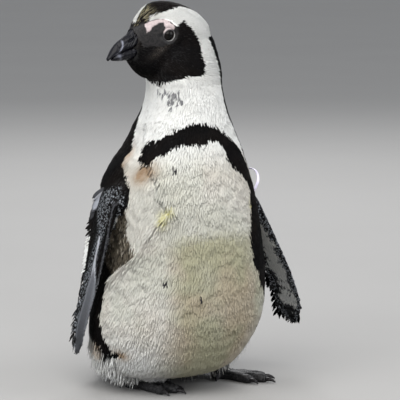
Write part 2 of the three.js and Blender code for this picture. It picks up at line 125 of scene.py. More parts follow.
# The flank beside the right flipper: mud mottling, and painted shade where the flipper shades it.
SHADED_FLANK = (
    (-122, 214), (-66, 216), (-64, 200), (-66, 186), (-61, 172), (-56, 161), (-70, 146), (-84, 134),
    (-122, 134),
)
BROWN_STAINS = ((-84, 262, 7, 20), (-50, 259, 9, 9), (-57, 250, 7, 9), (-92, 46, 9, 8), (-66, 50, 8, 6))
YELLOW_STAINS = ((-36, 205, 4, 8), (-31, 214, 3, 5), (40, 214, 2.5, 6))
BELLY_SPOTS = ((-28, 259, 2.6), (-33, 134, 2.4), (-11, 116, 2.4), (-54, 65, 1.8), (-77, 31, 1.8))
THROAT_SPOTS = (
    (-65, 342, 2.8), (-60, 340, 2.2), (-54, 337, 3.4), (-46, 339, 3.2), (-41, 338, 3.8),
    (-35, 332, 4.2), (-26, 341, 3.2), (-20, 331, 3.2), (-41, 331, 4.0), (-30, 337, 3.6),
    (-50, 343, 2.6), (-37, 326, 3.4), (-28, 329, 3.4), (-24, 335, 3.0), (-34, 340, 2.8),
)
ARC = 1.4  # millimetres to a degree round the body
MASK_FROM, CROWN_FROM, FACE_FROM = 335, 345, 380  # heights above which the head's outlines hold
FAR = 99.0  # millimetres that stand for nowhere near
MARKS = (
    "black", "cream", "soiled", "flank", "brown", "yellow", "spot", "speck", "forehead", "grizzle", "bare",
    "pink", "grey", "fleck", "ragged",
)
DEPTH_MARKS = ("spot", "speck", "bare", "pink")  # kept as the depth inside an outline or a dot
# ---- markings: outlines on the head, ahead and up ----
MASK = (
    (30, 20), (23, 19.5), (15.4, 18.8), (5.9, 18.4), (0, 16.4), (-5, 11.6), (-11.5, 4.7), (-16, 6.9),
    (-21.9, 8.7), (-24, 4.7), (-27.1, -0.8), (-28.8, -7.1), (-31.1, -13.7), (-32.1, -20),
    (-30.4, -27.2), (-27.4, -34.1), (-24.8, -45.8), (-19.5, -53.2), (-13, -52.4), (-2.2, -49.6),
    (5.3, -50), (14.6, -51.2), (21.4, -55.5), (30, -60), (50, -60), (70, -40), (70, 20),
)
BARE_FACE = (
    (34, 17), (22.3, 17.4), (15.4, 18.6), (6.9, 18.4), (0, 17), (-6, 12.6), (-9.5, 6), (-9.5, -2),
    (-7, -7.5), (-3, -10), (0, -10.8), (8.8, -11.8), (19.4, -10), (25.3, -6.4), (28, -7.2), (34, -7),
)
PINK_PATCH = (
    (22.6, 17.1), (24.3, 7.6), (20.5, 8.9), (17.2, 11.4), (11.7, 13.3), (6.5, 14.2), (2.2, 13),
    (3.2, 7), (6, 2.6), (0, 2), (-7.3, 3.4), (-7.4, 9), (-3, 14.6), (-0.8, 16.7), (6.9, 18.8),
    (15.4, 19),
)
CROWN_WIDTH = (
    (-60, 12), (-45, 13), (-34, 15), (-27, 15.6), (-17, 16.6), (-8, 13.6), (1.4, 10), (8.4, 7.3),
    (14.7, 5.8), (17.8, 4.8), (23, 3.0), (28, 1.6),
)
# ---- markings of a flipper: shares of its span, and the places across it there ----
STRIP_LOW = ((0.38, 0.42, 0.47, 0.53, 0.60, 0.73, 1), (-0.2, -0.4, -0.33, -0.45, -0.85, -1, -1.1))
STRIP_HIGH = ((0.38, 0.42, 0.47, 0.53, 0.60, 0.73, 0.875, 1), (-0.25, -0.05, -0.15, 0, 0, 0.22, 0.5, 0.5))
STRIP_STRENGTH = ((0.4, 0.55, 0.68, 0.8, 0.9, 1), (0.85, 0.8, 0.62, 0.48, 0.3, 0.15))
NET_LOW = ((0.1, 0.35, 0.42, 0.53, 0.6, 0.73, 0.875), (-0.75, -0.65, -0.45, -0.45, -0.1, 0.2, 0.5))
NET_HIGH = ((0.1, 0.3, 0.38, 0.45, 0.53, 0.6, 0.73, 0.875), (0.7, 0.6, 0.1, 0.15, 0.35, 0.6, 0.9, 1.1))
WHITE_EDGE, WHITE_FROM, WHITE_TO = 0.82, 0.45, 0.62  # place across, and from and to along the span
# ---- the bill's outline: ahead, half width, top and bottom ----
BILL_OUTLINE = (
    (25, 11.4, 19, -19.8), (34, 10, 13.2, -19.8), (43, 9, 9.4, -19.4), (52, 8, 7.2, -18.4),
    (60, 7, 4.2, -16.4), (66.5, 5.4, -0.2, -14), (71, 3.8, -4.6, -12.6), (75, 0, -10.8, -11.2),
)


def head_point(ahead, left, up):
    """The place in the frame that lies this far ahead, left and up on the head."""
    return HEAD_ORIGIN + HEAD_AXES @ np.array((left, -ahead, up), float)


def on_head(points):
    """How far ahead, to the bird's left and up each point lies on the head."""
    local = (points - HEAD_ORIGIN) @ HEAD_AXES
    return -local[:, 1], local[:, 0], local[:, 2]


def round_body(points):
    """Degrees round the body and height of each point."""
    angle = np.arctan2(points[:, 0] - BODY_MIDDLE[0], BODY_MIDDLE[1] - points[:, 1])
    return np.degrees(angle), points[:, 2]


def smooth_step(values, low, high):
    """Rises smoothly from 0 at low to 1 at high."""
    t = np.clip((values - low) / (high - low), 0, 1)
    return t * t * (3 - 2 * t)


def trough(distance, wide):
    """A round bump, 1 in its middle and nothing far away; taken from a height it carves a trough."""
    return np.exp(-((distance / wide) ** 2))


def unit(vectors):
    return vectors / np.maximum(np.linalg.norm(vectors, axis=-1, keepdims=True), 1e-9)


def to_line(x, y, line, closed):
    """Distance to a line of points, and on which side of it each point lies (+ is the left of its way)."""
    ends = np.array(line, float)
    pairs = zip(ends, np.roll(ends, -1, 0)) if closed else zip(ends[:-1], ends[1:])
    best = np.full(len(x), 1e9)
    side = np.ones(len(x))
    inside = np.zeros(len(x), bool)
    for (x1, y1), (x2, y2) in pairs:
        dx, dy = x2 - x1, y2 - y1
        t = np.clip(((x - x1) * dx + (y - y1) * dy) / (dx * dx + dy * dy), 0, 1)
        gap = np.hypot(x - x1 - t * dx, y - y1 - t * dy)
        nearer = gap < best
        best = np.where(nearer, gap, best)
        side = np.where(nearer, np.sign(dx * (y - y1) - dy * (x - x1)), side)
        inside ^= ((y1 > y) != (y2 > y)) & (x < dx * (y - y1) / (dy or 1e-9) + x1)
    return best, side, inside


def depth_in(x, y, outline):
    """How deep inside a closed outline each point lies, negative outside it."""
    best, _, inside = to_line(x, y, outline, closed=True)
    return np.where(inside, best, -best)


def past_parting(degrees, height):
    """Distance from the belly's raised edge, + on the bird's left of it."""
    line = [(a * ARC, z) for a, z in PARTING]
    gap, side, _ = to_line(degrees * ARC, height, line, closed=False)
    return gap * side


def flipper_axis(side, share):
    """Points on a flipper's axis at these shares of its span, and straight on past its tip."""
    knots = np.array(FLIPPER_AXES[side], float) + SHIFT
    steps = np.r_[0, np.cumsum(np.linalg.norm(np.diff(knots, axis=0), axis=1))]
    inside = np.stack([np.interp(share * steps[-1], steps, column) for column in knots.T], 1)
    return inside + unit(knots[-1] - knots[-2]) * (np.maximum(share - 1, 0) * steps[-1])[:, None]


def flipper_ways(side, share, span):
    """The ways to a flipper's hind edge and out of its outer side, at these shares of its span."""
    root, tip = np.array(FLIPPER_CHORD[side], float)
    chord = root + (tip - root) * np.clip(share, 0, 1)[:, None]
    back = unit(chord - span * (span * chord).sum(1)[:, None])
    return back, np.cross(span, back) * (1 if side == "left" else -1)


def along_flipper(points, side):
    """Each point's share of the span, place across it (-1 is the leading edge, 1 the hind one) and height
    over the outer side, then the ways along the span and to the hind edge there."""
    shares = np.linspace(0, 1, AXIS_POINTS)
    axis = flipper_axis(side, shares)
    near = ((points[:, None] - axis[None]) ** 2).sum(2).argmin(1)
    share = shares[near]
    span = unit(np.gradient(axis, axis=0))[near]
    back, out = flipper_ways(side, share, span)
    off = points - axis[near]
    behind = (off * back).sum(1)
    lead = np.interp(share, FLIPPER_SHARE, FLIPPER_LEAD)
    trail = np.interp(share, FLIPPER_SHARE, FLIPPER_TRAIL)
    return share, behind / np.where(behind < 0, lead, trail), (off * out).sum(1), span, back


def crown_and_nape(points):
    """How deep inside the black of the crown and nape each point lies."""
    ahead, left, up = on_head(points)
    widths = np.array(CROWN_WIDTH)
    width = np.interp(ahead, widths[:, 0], widths[:, 1]) + np.interp(up, (-50, 0, 12), (20, 1.5, 0))
    middle = np.interp(ahead, (-20, 8, 26), (0, 5, 4)) + np.interp(up, (-50, 0), (7.7, 0))
    width = width + np.interp(ahead, (13, 18, 24), (0, 3.5, 6)) * (left > middle)
    top_or_back = np.maximum(up - 3, -36 - ahead)
    return np.minimum(width - abs(left - middle), np.minimum(top_or_back, up + 62))


def blank_marks(count):
    """No markings at all, for this many points."""
    return {name: np.full(count, -FAR if name in DEPTH_MARKS else 0.0) for name in MARKS}


def belly_cream_and_shade(degrees, height):
    """The belly's yellowish stain with painted shade: full below the breast, fading sooner to the bird's
    right;
    a faint one all round is painted shade below the breast.
    """
    around = np.where(degrees < 8, smooth_step(degrees, -54, -16), trough(degrees - 8, 64))
    strong = around * smooth_step(-height, -214, -170)
    return np.maximum(strong, 0.50 * smooth_step(-height, -290, -250) * smooth_step(height, 30, 90))


def body_marks(points):
    """The markings of head, neck, trunk and legs at each point."""
    degrees, height = round_body(points)
    ahead, _, up = on_head(points)
    arc = degrees * ARC
    run_on = (degrees % 360) * ARC

    def deep(x, outline):
        return depth_in(x, height, [(a * ARC, z) for a, z in outline])

    def on_face(outline, lowest):
        return np.where(height > lowest, depth_in(ahead, up, outline), -FAR)

    def stains(places):
        total = np.zeros(len(points))
        for a, z, wide, high in places:
            total += trough(degrees - a, wide) * trough(height - z, high)
        return np.clip(total, 0, 1)

    def spots(places):
        best = np.full(len(points), -FAR)
        for a, z, radius in places:
            best = np.maximum(best, radius - np.hypot((degrees - a) * ARC, height - z))
        return best

    mask = on_face(MASK, MASK_FROM)
    crown = np.where(height > CROWN_FROM, crown_and_nape(points), -FAR)
    marks = blank_marks(len(points))
    marks.update(
        black=np.maximum.reduce([
            deep(arc, BREAST_BAND), deep(run_on, BACK), deep(arc, FLANK_STRIPE), mask, crown,
        ]),
        # the belly's yellowish stain, darkened further by painted shade on the lower belly and below the
        # breast
        cream=belly_cream_and_shade(degrees, height),
        soiled=smooth_step(deep(arc, SOILED), -5, 5),
        flank=smooth_step(deep(arc, SHADED_FLANK), -6, 6),
        brown=stains(BROWN_STAINS),
        yellow=stains(YELLOW_STAINS),
        spot=spots(BELLY_SPOTS),
        speck=spots(THROAT_SPOTS),
        forehead=smooth_step(ahead, 0, 12) * smooth_step(crown, -3, 2) * smooth_step(up, 14, 20),
        # brown-grey cheek feathers with a painted sheen across them
        grizzle=trough(ahead - 15, 11) * trough(up + 15 + (ahead - 15) * 0.4, 4.5) * (mask > 0),
        bare=on_face(BARE_FACE, FACE_FROM),
        pink=on_face(PINK_PATCH, FACE_FROM),
        ragged=np.where(height > CROWN_FROM, 0.45, 1.0),
    )
    return marks


def flipper_marks(points, side):
    """The markings of one flipper: black outside with a grey leading strip, pale with dark patches inside."""
    marks = blank_marks(len(points))
    share, place, over, _, _ = along_flipper(points, side)
    outside = over > 0
    wave = np.sin(share * 31) * 0.07 + np.sin(share * 67 + 1) * 0.04 + np.sin(share * 143) * 0.03
    white = 9 * np.minimum(place - WHITE_EDGE - wave, np.minimum(share - WHITE_FROM, WHITE_TO - share) * 3)
    pale = np.minimum(np.minimum(place + 0.55 + wave, 0.3 + wave * 2 - place), (0.84 - share + wave) * 2)
    pale = np.minimum(pale, (share - 0.2) * 3)
    marks["black"] = np.where(outside, -np.clip(white, -4, 4), -np.clip(pale * 6, -3, 3))
    # The grey strip is brighter in two places and, as a painted highlight, along both of its borders, with a
    # fine line before it.
    low, high = np.interp(share, *STRIP_LOW), np.interp(share, *STRIP_HIGH)
    strip = smooth_step(np.minimum(place - low, high - place) + wave * 0.4, -0.03, 0.08)
    bright = 0.6 * trough(share - 0.43, 0.035) + 0.5 * trough(share - 0.54, 0.045)
    border_highlight = trough(place - low - 0.12, 0.14) + trough(high - place - 0.12, 0.12)
    strip = strip * (np.interp(share, *STRIP_STRENGTH) + bright + 0.35 * border_highlight)
    line = smooth_step(share, 0.15, 0.22) * (1 - smooth_step(share, 0.58, 0.66)) * trough(place + 0.9, 0.03)
    marks["grey"] = np.where(outside, np.maximum(strip, 0.4 * line), 0.5 * smooth_step(pale, -0.35, 0.25))
    inside_net = np.minimum(place - np.interp(share, *NET_LOW), np.interp(share, *NET_HIGH) - place)
    marks["fleck"] = np.where(outside, smooth_step(inside_net, -0.2, 0.2), smooth_step(-place, 0.3, 0.6))
    marks["ragged"] = np.where(outside, 0.25, 0.5)
    return marks


def tail_marks(points):
    """The tail is black all over."""
    marks = blank_marks(len(points))
    marks["black"] += 4
    return marks


# ---- mesh helpers ----
def read_points(mesh):
    flat = np.empty(len(mesh.vertices) * 3, np.float32)
    mesh.vertices.foreach_get("co", flat)
    return flat.reshape(-1, 3).astype(float) / MM


def write_points(mesh, points):
    mesh.vertices.foreach_set("co", (points * MM).astype(np.float32).ravel())
    mesh.update()


def read_normals(mesh):
    flat = np.empty(len(mesh.vertices) * 3, np.float32)
    mesh.vertex_normals.foreach_get("vector", flat)
    return flat.reshape(-1, 3).astype(float)


def read_edges(mesh):
    flat = np.empty(len(mesh.edges) * 2, np.int32)
    mesh.edges.foreach_get("vertices", flat)
    return flat.reshape(-1, 2)


def neighbour_means(edges, count):
    """A function that gives the mean over each corner's neighbours, for rows of values."""
    a, b = edges.T
    degree = np.maximum(np.bincount(a, minlength=count) + np.bincount(b, minlength=count), 1)[:, None]

    def means(rows):
        sums = [np.bincount(a, column[b], count) + np.bincount(b, column[a], count) for column in rows.T]
        return np.stack(sums, 1) / degree

    return means


def spread(values, edges, rounds):
    """Evens values out between neighbouring corners."""
    rows = values.reshape(len(values), -1).astype(float)
    means = neighbour_means(edges, len(rows))
    for _ in range(rounds):
        rows = 0.5 * rows + 0.5 * means(rows)
    return rows.reshape(values.shape)


def relax(points, edges, weight, rounds, keep_size=True):
    """Takes the facets out of a surface, with an outward step after each inward one to keep its size."""
    means = neighbour_means(edges, len(points))
    for _ in range(rounds):
        for step in (0.5, -0.52) if keep_size else (0.5,):
            points = points + step * weight[:, None] * (means(points) - points)
    return points


def rough_ground(points, wide, narrow, share):
    """Smooth random heights at each point: wide lumps, and narrower ones of this share of their height."""
    return np.array([noise.noise(Vector(p) / wide) + share * noise.noise(Vector(p) / narrow) for p in points])


def attribute(mesh, name, values):
    """Writes one value, or one vector, for each corner."""
    kind = "FLOAT_VECTOR" if values.ndim == 2 else "FLOAT"
    layer = mesh.attributes.new(name, kind, "POINT")
    layer.data.foreach_set("vector" if values.ndim == 2 else "value", values.astype(np.float32).ravel())


def add_object(name, data):
    piece = bpy.data.objects.new(name, data)
    bpy.context.scene.collection.objects.link(piece)
    return piece


def drop_object(piece):
    mesh = piece.data
    bpy.data.objects.remove(piece)
    if mesh.users == 0:
        bpy.data.meshes.remove(mesh)


def shade_smooth(mesh):
    mesh.polygons.foreach_set("use_smooth", np.ones(len(mesh.polygons), bool))


def finish_piece(piece, material, slot, replaces=()):
    """What every finished piece gets: its material, smooth faces, a place under the root body, and the CAD
    nodes it replaces hidden.
    """
    piece.data.materials.clear()
    piece.data.materials.append(material)
    shade_smooth(piece.data)
    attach(piece, "root")
    if replaces:
        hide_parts(*replaces)


def make_mesh(name, corners, faces, weld=True, unit_size=MM):
    """A mesh of these corners and faces, with its faces turned outward."""
    mesh = bpy.data.meshes.new(name)
    mesh.from_pydata([tuple(np.array(c) * unit_size) for c in corners], [], faces)
    build = bmesh.new()
    build.from_mesh(mesh)
    if weld:
        bmesh.ops.remove_doubles(build, verts=build.verts, dist=1e-7)
    bmesh.ops.recalc_face_normals(build, faces=build.faces)
    build.to_mesh(mesh)
    build.free()
    return mesh


def node_copy(names, swell):
    """One mesh of these CAD nodes, with their corners merged, each grown a little."""
    whole = bmesh.new()
    for name in names:
        part = bmesh.new()
        part.from_mesh(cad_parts[name].data)
        bmesh.ops.remove_doubles(part, verts=part.verts, dist=MERGE)
        part.normal_update()
        moves = [(v, v.normal.copy()) for v in part.verts]
        for corner, way in moves:
            corner.co += way * swell * MM
        held = bpy.data.meshes.new("held")
        part.to_mesh(held)
        part.free()
        whole.from_mesh(held)
        bpy.data.meshes.remove(held)
    mesh = bpy.data.meshes.new("node_copy")
    whole.to_mesh(mesh)
    whole.free()
    return mesh


def remeshed(mesh, voxel):
    """The mesh made anew of even faces of this size; the old one goes."""
    holder = add_object("remesh_holder", mesh)
    step = holder.modifiers.new("remesh", "REMESH")
    step.mode = "VOXEL"
    step.voxel_size = voxel * MM
    seen = holder.evaluated_get(bpy.context.evaluated_depsgraph_get())
    made = bpy.data.meshes.new_from_object(seen)
    drop_object(holder)
    return made


def refine(mesh, wanted):
    """Halves the faces whose middle passes the test."""
    build = bmesh.new()
    build.from_mesh(mesh)
    middles = np.array([face.calc_center_median() for face in build.faces]) / MM
    chosen = wanted(middles)
    edges = {edge for face, yes in zip(build.faces, chosen) if yes for edge in face.edges}
    bmesh.ops.subdivide_edges(build, edges=list(edges), cuts=1, use_grid_fill=True)
    build.to_mesh(mesh)
    build.free()
    mesh.update()


def surface_tree(names):
    """A search tree over these CAD nodes' faces, and the number of the node that each face belongs to."""
    corners, faces, owners = [], [], []
    for number, name in enumerate(names):
        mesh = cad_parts[name].data
        start = len(corners)
        corners += [v.co.copy() for v in mesh.vertices]
        faces += [[start + k for k in face.vertices] for face in mesh.polygons]
        owners += [number] * len(mesh.polygons)
    return BVHTree.FromPolygons(corners, faces), np.array(owners)


# ---- the skin ----
def eye_reach(points):
    """Distance of each point from the line through both eyes' middles, sideways of the head."""
    ahead, left, up = on_head(points)
    return np.hypot(ahead - EYE_AHEAD, up - EYE_UP), left


def lie_of_coat(points, normals, share):
    """The way the feathers lie: down the body, back from the bill, and out along flippers and tail."""
    under = smooth_step(-normals[:, 2], 0.35, 0.9)[:, None]
    down = np.array((0, 0.28, -1.0)) * (1 - under) + np.array((0.05, 1, -0.2)) * under
    ways = dict.fromkeys(FLESH, down)
    ways["head"] = unit(points - head_point(*BILL_HOOK)) + np.array((0, 0, -0.25))
    ways["tail"] = np.tile(TAIL_WAY, (len(points), 1))
    for side in ("left", "right"):
        _, _, _, span, back = along_flipper(points, side)
        ways["wing_" + side] = span + 0.22 * back
    mixed = sum(share[:, number, None] * unit(way) for number, way in enumerate(ways.values()))
    mixed -= (mixed * normals).sum(1)[:, None] * normals
    return unit(mixed)


SKIN_SWELL = 0.4  # how much the flesh is grown before its copies are made one
FINE_FROM, FINE_TO, FACE_FINE_FROM = 350, 13, 375  # the head above, the feet below, and the face above
NAPE_END, FACE_BACK, CHIN = -62, -19, -22  # where those finer faces end on the head: up, ahead and up
FOOT_TOP, ABOVE_FLOOR = 9.5, 0.02
BILL_HOOK = (66, 0, -6)  # ahead, left and up on the head, whose feathers lie away from it


def sink_under_coat(mesh, points, edges, owner):
    """The flesh made smooth and sunk by the coat's depth, with the parting's raised edge and soft lumps."""
    body = np.isin(owner, (TRUNK, NECK)).astype(float)
    head = (owner == HEAD).astype(float)
    points = relax(points, edges, np.clip(spread(body + head, edges, 4), 0, 1), 22)
    points = relax(points, edges, np.clip(spread(body, edges, 6), 0, 1), 14, keep_size=False)
    points = relax(points, edges, np.ones(len(points)), 3)
    ahead, _, _ = on_head(points)
    depths = COAT_DEPTH[owner] + SKIN_SWELL - head * smooth_step(ahead, -25, 5) * 0.3
    write_points(mesh, points)
    normals = read_normals(mesh)
    points = points - normals * spread(depths, edges, 8)[:, None]

    degrees, height = round_body(points)
    past = past_parting(degrees, height)
    ridge = 4.4 + 2.0 * smooth_step(height, 140, 180)
    raised = ridge * smooth_step(past, -2.0, 3.0) * np.exp(-np.maximum(past, 0) / 34)
    raised -= 1.8 * smooth_step(-past, -2, 3) * np.exp(-np.maximum(-past, 0) / 18)
    here = body * (height > 30) * smooth_step(height, 40, 90) * (abs(degrees) < 130)
    points = points + normals * (raised * here)[:, None]
    # Soft lumps, where clumps of down lie together.
    lumps = rough_ground(points, 9.5, 5.2, 0.35)
    calm = 1 - 0.55 * smooth_step(points[:, 2], 285, 330)
    return points + normals * (lumps * 0.45 * calm * body * smooth_step(points[:, 2], 20, 40))[:, None]


def mould_feet(mesh, points, edges, owner):
    """Puts the feet back onto their solids, where the remesh had rounded them, and gives them knuckles."""
    feet, _ = surface_tree(("foot_left", "foot_right"))
    on_foot = np.isin(owner, (FOOT_LEFT, FOOT_RIGHT)) & (points[:, 2] < FOOT_TOP)
    for k in np.flatnonzero(on_foot):
        points[k] = np.array(feet.find_nearest(points[k] * MM)[0]) / MM
    points = relax(points, edges, on_foot * 0.6, 2)
    write_points(mesh, points)
    above = smooth_step(read_normals(mesh)[:, 2], 0.0, 0.6) * on_foot
    points[:, 2] += above * (1.3 + 0.9 * rough_ground(points, 7, 3, 0.5))
    points[:, 2] = np.maximum(points[:, 2], ABOVE_FLOOR)
    return points


def seat_eyes(points):
    """Sinks the skin behind each eyeball, and swells it a little round it."""
    reach, side = eye_reach(points)
    _, _, up = on_head(points)
    sideways = HEAD_AXES[:, 0][None] * np.sign(side)[:, None]
    beside = (abs(side) > 12) & (points[:, 2] > FACE_FROM)
    sink = np.where(beside, 1 - smooth_step(reach, 5.4, 7.0), 0) * np.maximum(abs(side) - 19.5, 0)
    brow = 0.9 * trough(reach - 10.5, 2.6) * smooth_step(up, -2, 6) * beside
    cheek = 0.7 * trough(reach - 11, 2.2) * smooth_step(-up, 0, 6) * beside
    points = points - sideways * sink[:, None]
    return points + sideways * (brow + cheek)[:, None]


def mark_skin(mesh, points, edges, owner):
    """Writes on the skin what its coat and its finish read: lie, measures, markings and regions."""
    normals = read_normals(mesh)
    share = spread(np.eye(len(FLESH))[owner], edges, 6)
    way = spread(lie_of_coat(points, normals, share), edges, 5)
    way = unit(way - (way * normals).sum(1)[:, None] * normals)
    for name, values in coat_measures(points, owner).items():
        attribute(mesh, name, spread(values, edges, 3))
    attribute(mesh, "lie", way)
    attribute(mesh, "outward", normals)
    attribute(mesh, "plush", unit(spread(normals, edges, 4)))
    marks = body_marks(points)
    for number, find in (
        (WING_LEFT, lambda p: flipper_marks(p, "left")), (WING_RIGHT, lambda p: flipper_marks(p, "right")),
        (TAIL, tail_marks),
    ):
        here = owner == number
        for name, values in find(points[here]).items():
            marks[name][here] = values
    for name, values in marks.items():
        attribute(mesh, name, values)
    leather = smooth_step(np.where(owner >= LEG_LEFT, 14 - points[:, 2], -9), -4, 2)
    attribute(mesh, "leather", spread(leather, edges, 2))
    attribute(mesh, "region", owner.astype(float))
    attribute(mesh, "chance", np.full(len(points), 0.5))
    attribute(mesh, "along", np.full(len(points), 0.2))


def grow_skin():
    """One closed skin under the coat, from copies of all the flesh."""
    mesh = remeshed(node_copy(FLESH, SKIN_SWELL), bpy.context.scene.penguin.skin_voxel)
    tree, owners = surface_tree(FLESH)

    def regions(points):
        return owners[[tree.find_nearest(p)[2] for p in points * MM]]

    points, edges = read_points(mesh), read_edges(mesh)
    write_points(mesh, sink_under_coat(mesh, points, edges, regions(points)))
    # Finer faces on the head and the feet, and finer still on the face.
    refine(mesh, lambda p: (p[:, 2] > FINE_FROM) & (on_head(p)[2] > NAPE_END))
    refine(mesh, lambda p: p[:, 2] < FINE_TO)
    refine(mesh, lambda p: (p[:, 2] > FACE_FINE_FROM) & (on_head(p)[0] > FACE_BACK) & (on_head(p)[2] > CHIN))
    points, edges = read_points(mesh), read_edges(mesh)
    fine = ((points[:, 2] > FINE_FROM) | (points[:, 2] < FINE_TO)).astype(float)
    points = relax(points, edges, fine, 3)
    owner = regions(points)
    points = seat_eyes(mould_feet(mesh, points, edges, owner))
    write_points(mesh, points)
    mark_skin(mesh, points, edges, owner)
    skin = add_object("skin", mesh)
    finish_piece(skin, plumage_material("plumage_skin", on_vanes=False), "white_feather", FLESH)


def coat_measures(points, owner):
    """How long, wide and raised the feathers are at each point, and how closely they stand."""
    degrees, height = round_body(points)
    ahead, left, up = on_head(points)
    length, width, lift = VANE_LENGTH[owner], VANE_WIDTH[owner], VANE_LIFT[owner]
    on_head_piece, on_neck, on_trunk = owner == HEAD, owner == NECK, owner == TRUNK
    # Longer towards the back of the head and the throat, on the neck's lower half, and over the brow.
    back_of_head, throat = smooth_step(-ahead, -5, 45), smooth_step(-up, 20, 55)
    low_neck = np.interp(height, (300, 360), (1, 0))
    brow = smooth_step(ahead, -2, 8) * smooth_step(up, 12, 18) * on_head_piece
    length = length + on_head_piece * (2.6 * back_of_head + 1.6 * throat) + on_neck * 2.0 * low_neck
    width = width + on_head_piece * (0.6 * back_of_head + 0.3 * throat) + on_neck * 0.7 * low_neck
    length = length * (1 + 1.1 * brow)
    width = width * (1 - 0.4 * brow)
    # Raised along the belly's parting, shorter where soiled beside it, and loose at the trunk's lower edge.
    past = past_parting(degrees, height)
    edge = trough(past - 4, 6) * on_trunk * (height > 60)
    beside = on_trunk * (height > 135) * (height < 262)
    soiled = smooth_step(-past, 0, 6) * smooth_step(past, -60, -40) * beside
    skirt = on_trunk * smooth_step(-height, -46, -24)
    length = length * (1 + 0.1 * edge) * (1 - 0.3 * soiled) * (1 + 0.35 * skirt)
    width = width * (1 - 0.35 * soiled)
    lift = lift + 0.07 * edge + 0.1 * skirt
    # None on the bare face, the eyes, the bill's root and the feet.
    cover = np.ones(len(points))
    bare = np.where(height > FACE_FROM, depth_in(ahead, up, BARE_FACE), -FAR) > -0.3
    reach, _ = eye_reach(points)
    half, top, bottom = (np.interp(ahead, *np.array(BILL_OUTLINE).T[[0, k]]) for k in (1, 2, 3))
    bill_root = (ahead > 25.5) & (abs(left) < half + 0.3) & (up < top + 0.3) & (up > bottom - 0.2)
    cover[(bare & (abs(left) > 7)) | bill_root | ((reach < 8.0) & (abs(left) > 14))] = 0
    cover[np.isin(owner, (FOOT_LEFT, FOOT_RIGHT)) | ((owner >= LEG_LEFT) & (height < 15))] = 0
    return {"vane_length": length, "vane_width": width, "lift": lift, "cover": cover}


# ---- materials ----
class Wire:
    """A socket of a material, so that sums on it are written as plain Python."""

    def __init__(self, finish, socket):
        self.finish, self.socket = finish, socket

    def combine(self, operation, other):
        return self.finish.add("Math", {"operation": operation}, {0: self, 1: other})

    def __add__(self, other):
        return self.combine("ADD", other)

    def __sub__(self, other):
        return self.combine("SUBTRACT", other)

    def __mul__(self, other):
        return self.combine("MULTIPLY", other)

    __radd__ = __add__
    __rmul__ = __mul__

    def most(self, other):
        return self.combine("MAXIMUM", other)

    def step(self, low, high):
        values = {"Value": self, "From Min": low, "From Max": high}
        return self.finish.add("MapRange", {"interpolation_type": "SMOOTHSTEP"}, values)


class Finish:
    """A material under construction."""

    def __init__(self, name):
        self.material = bpy.data.materials.new(name)
        self.material.use_nodes = True
        self.tree = self.material.node_tree
        self.tree.nodes.clear()

    def add(self, kind, settings=None, values=None, output=0):
        node = self.tree.nodes.new("ShaderNode" + kind)
        for key, value in (settings or {}).items():
            setattr(node, key, value)
        for key, value in (values or {}).items():
            if isinstance(value, Wire):
                self.tree.links.new(value.socket, node.inputs[key])
            elif isinstance(value, tuple) and len(value) == 3 and node.inputs[key].type == "RGBA":
                node.inputs[key].default_value = (*value, 1)
            else:
                node.inputs[key].default_value = value
        return Wire(self, node.outputs[output])

    def mark(self, name):
        """What the mesh says at each point, under this name."""
        return self.add("Attribute", {"attribute_name": name}, output="Fac")

    def noise(self, scale, detail=3.0, stretch=None):
        where = self.add("TexCoord", output="Object")
        if stretch:
            where = self.add("Mapping", None, {"Vector": where, "Scale": stretch})
        return self.add("TexNoise", None, {"Vector": where, "Scale": scale, "Detail": detail})

    def cells(self, scale, feature="F1"):
        values = {"Vector": self.add("TexCoord", output="Object"), "Scale": scale}
        return self.add("TexVoronoi", {"feature": feature}, values, output="Distance")

    def mix(self, share, first, second):
        """Two colours mixed; this share of the second."""
        return self.add("Mix", {"data_type": "RGBA"}, {0: share, 6: first, 7: second}, output=2)

    def blend(self, share, first, second):
        """Two numbers mixed; this share of the second."""
        return self.add("Mix", {"data_type": "FLOAT"}, {0: share, 2: first, 3: second})

    def dim(self, colour, amount):
        """A colour, or a way, times a number."""
        return self.add("VectorMath", {"operation": "SCALE"}, {0: colour, "Scale": amount})

    def bump(self, height, strength, reach, over=None):
        values = {"Height": height, "Strength": strength, "Distance": reach * MM}
        if over is not None:
            values["Normal"] = over
        return self.add("Bump", None, values)

    def close(self, constants, **links):
        shader = self.tree.nodes.new("ShaderNodeBsdfPrincipled")
        for key, value in constants.items():
            shader.inputs[key].default_value = value
        for key, value in links.items():
            self.tree.links.new(value.socket, shader.inputs[key.replace("_", " ")])
        end = self.tree.nodes.new("ShaderNodeOutputMaterial")
        self.tree.links.new(shader.outputs[0], end.inputs["Surface"])
        return self.material


# Fixed colours. The mud ones also stand for painted shade on the flank, the cheek's brown-grey one is partly
# a painted sheen, and the strip's edge one is a painted highlight.
SHADES = {
    "mud_and_shade_dark": (0.030, 0.026, 0.020), "mud_and_shade": (0.11, 0.092, 0.068), "mud_and_shade_tip": (0.34, 0.30, 0.24),
    "speck": (0.06, 0.06, 0.075), "spot": (0.03, 0.028, 0.03), "frost": (0.40, 0.35, 0.21),
    "net": (0.30, 0.32, 0.35), "strip_edge_highlight": (0.62, 0.65, 0.70), "grizzle": (0.10, 0.084, 0.072),
    "face_dark": (0.006, 0.0056, 0.0065), "face": (0.018, 0.0165, 0.0165),
    "sole_dark": (0.008, 0.008, 0.009), "sole": (0.06, 0.058, 0.060), "sole_crack": (0.006, 0.006, 0.007),
}


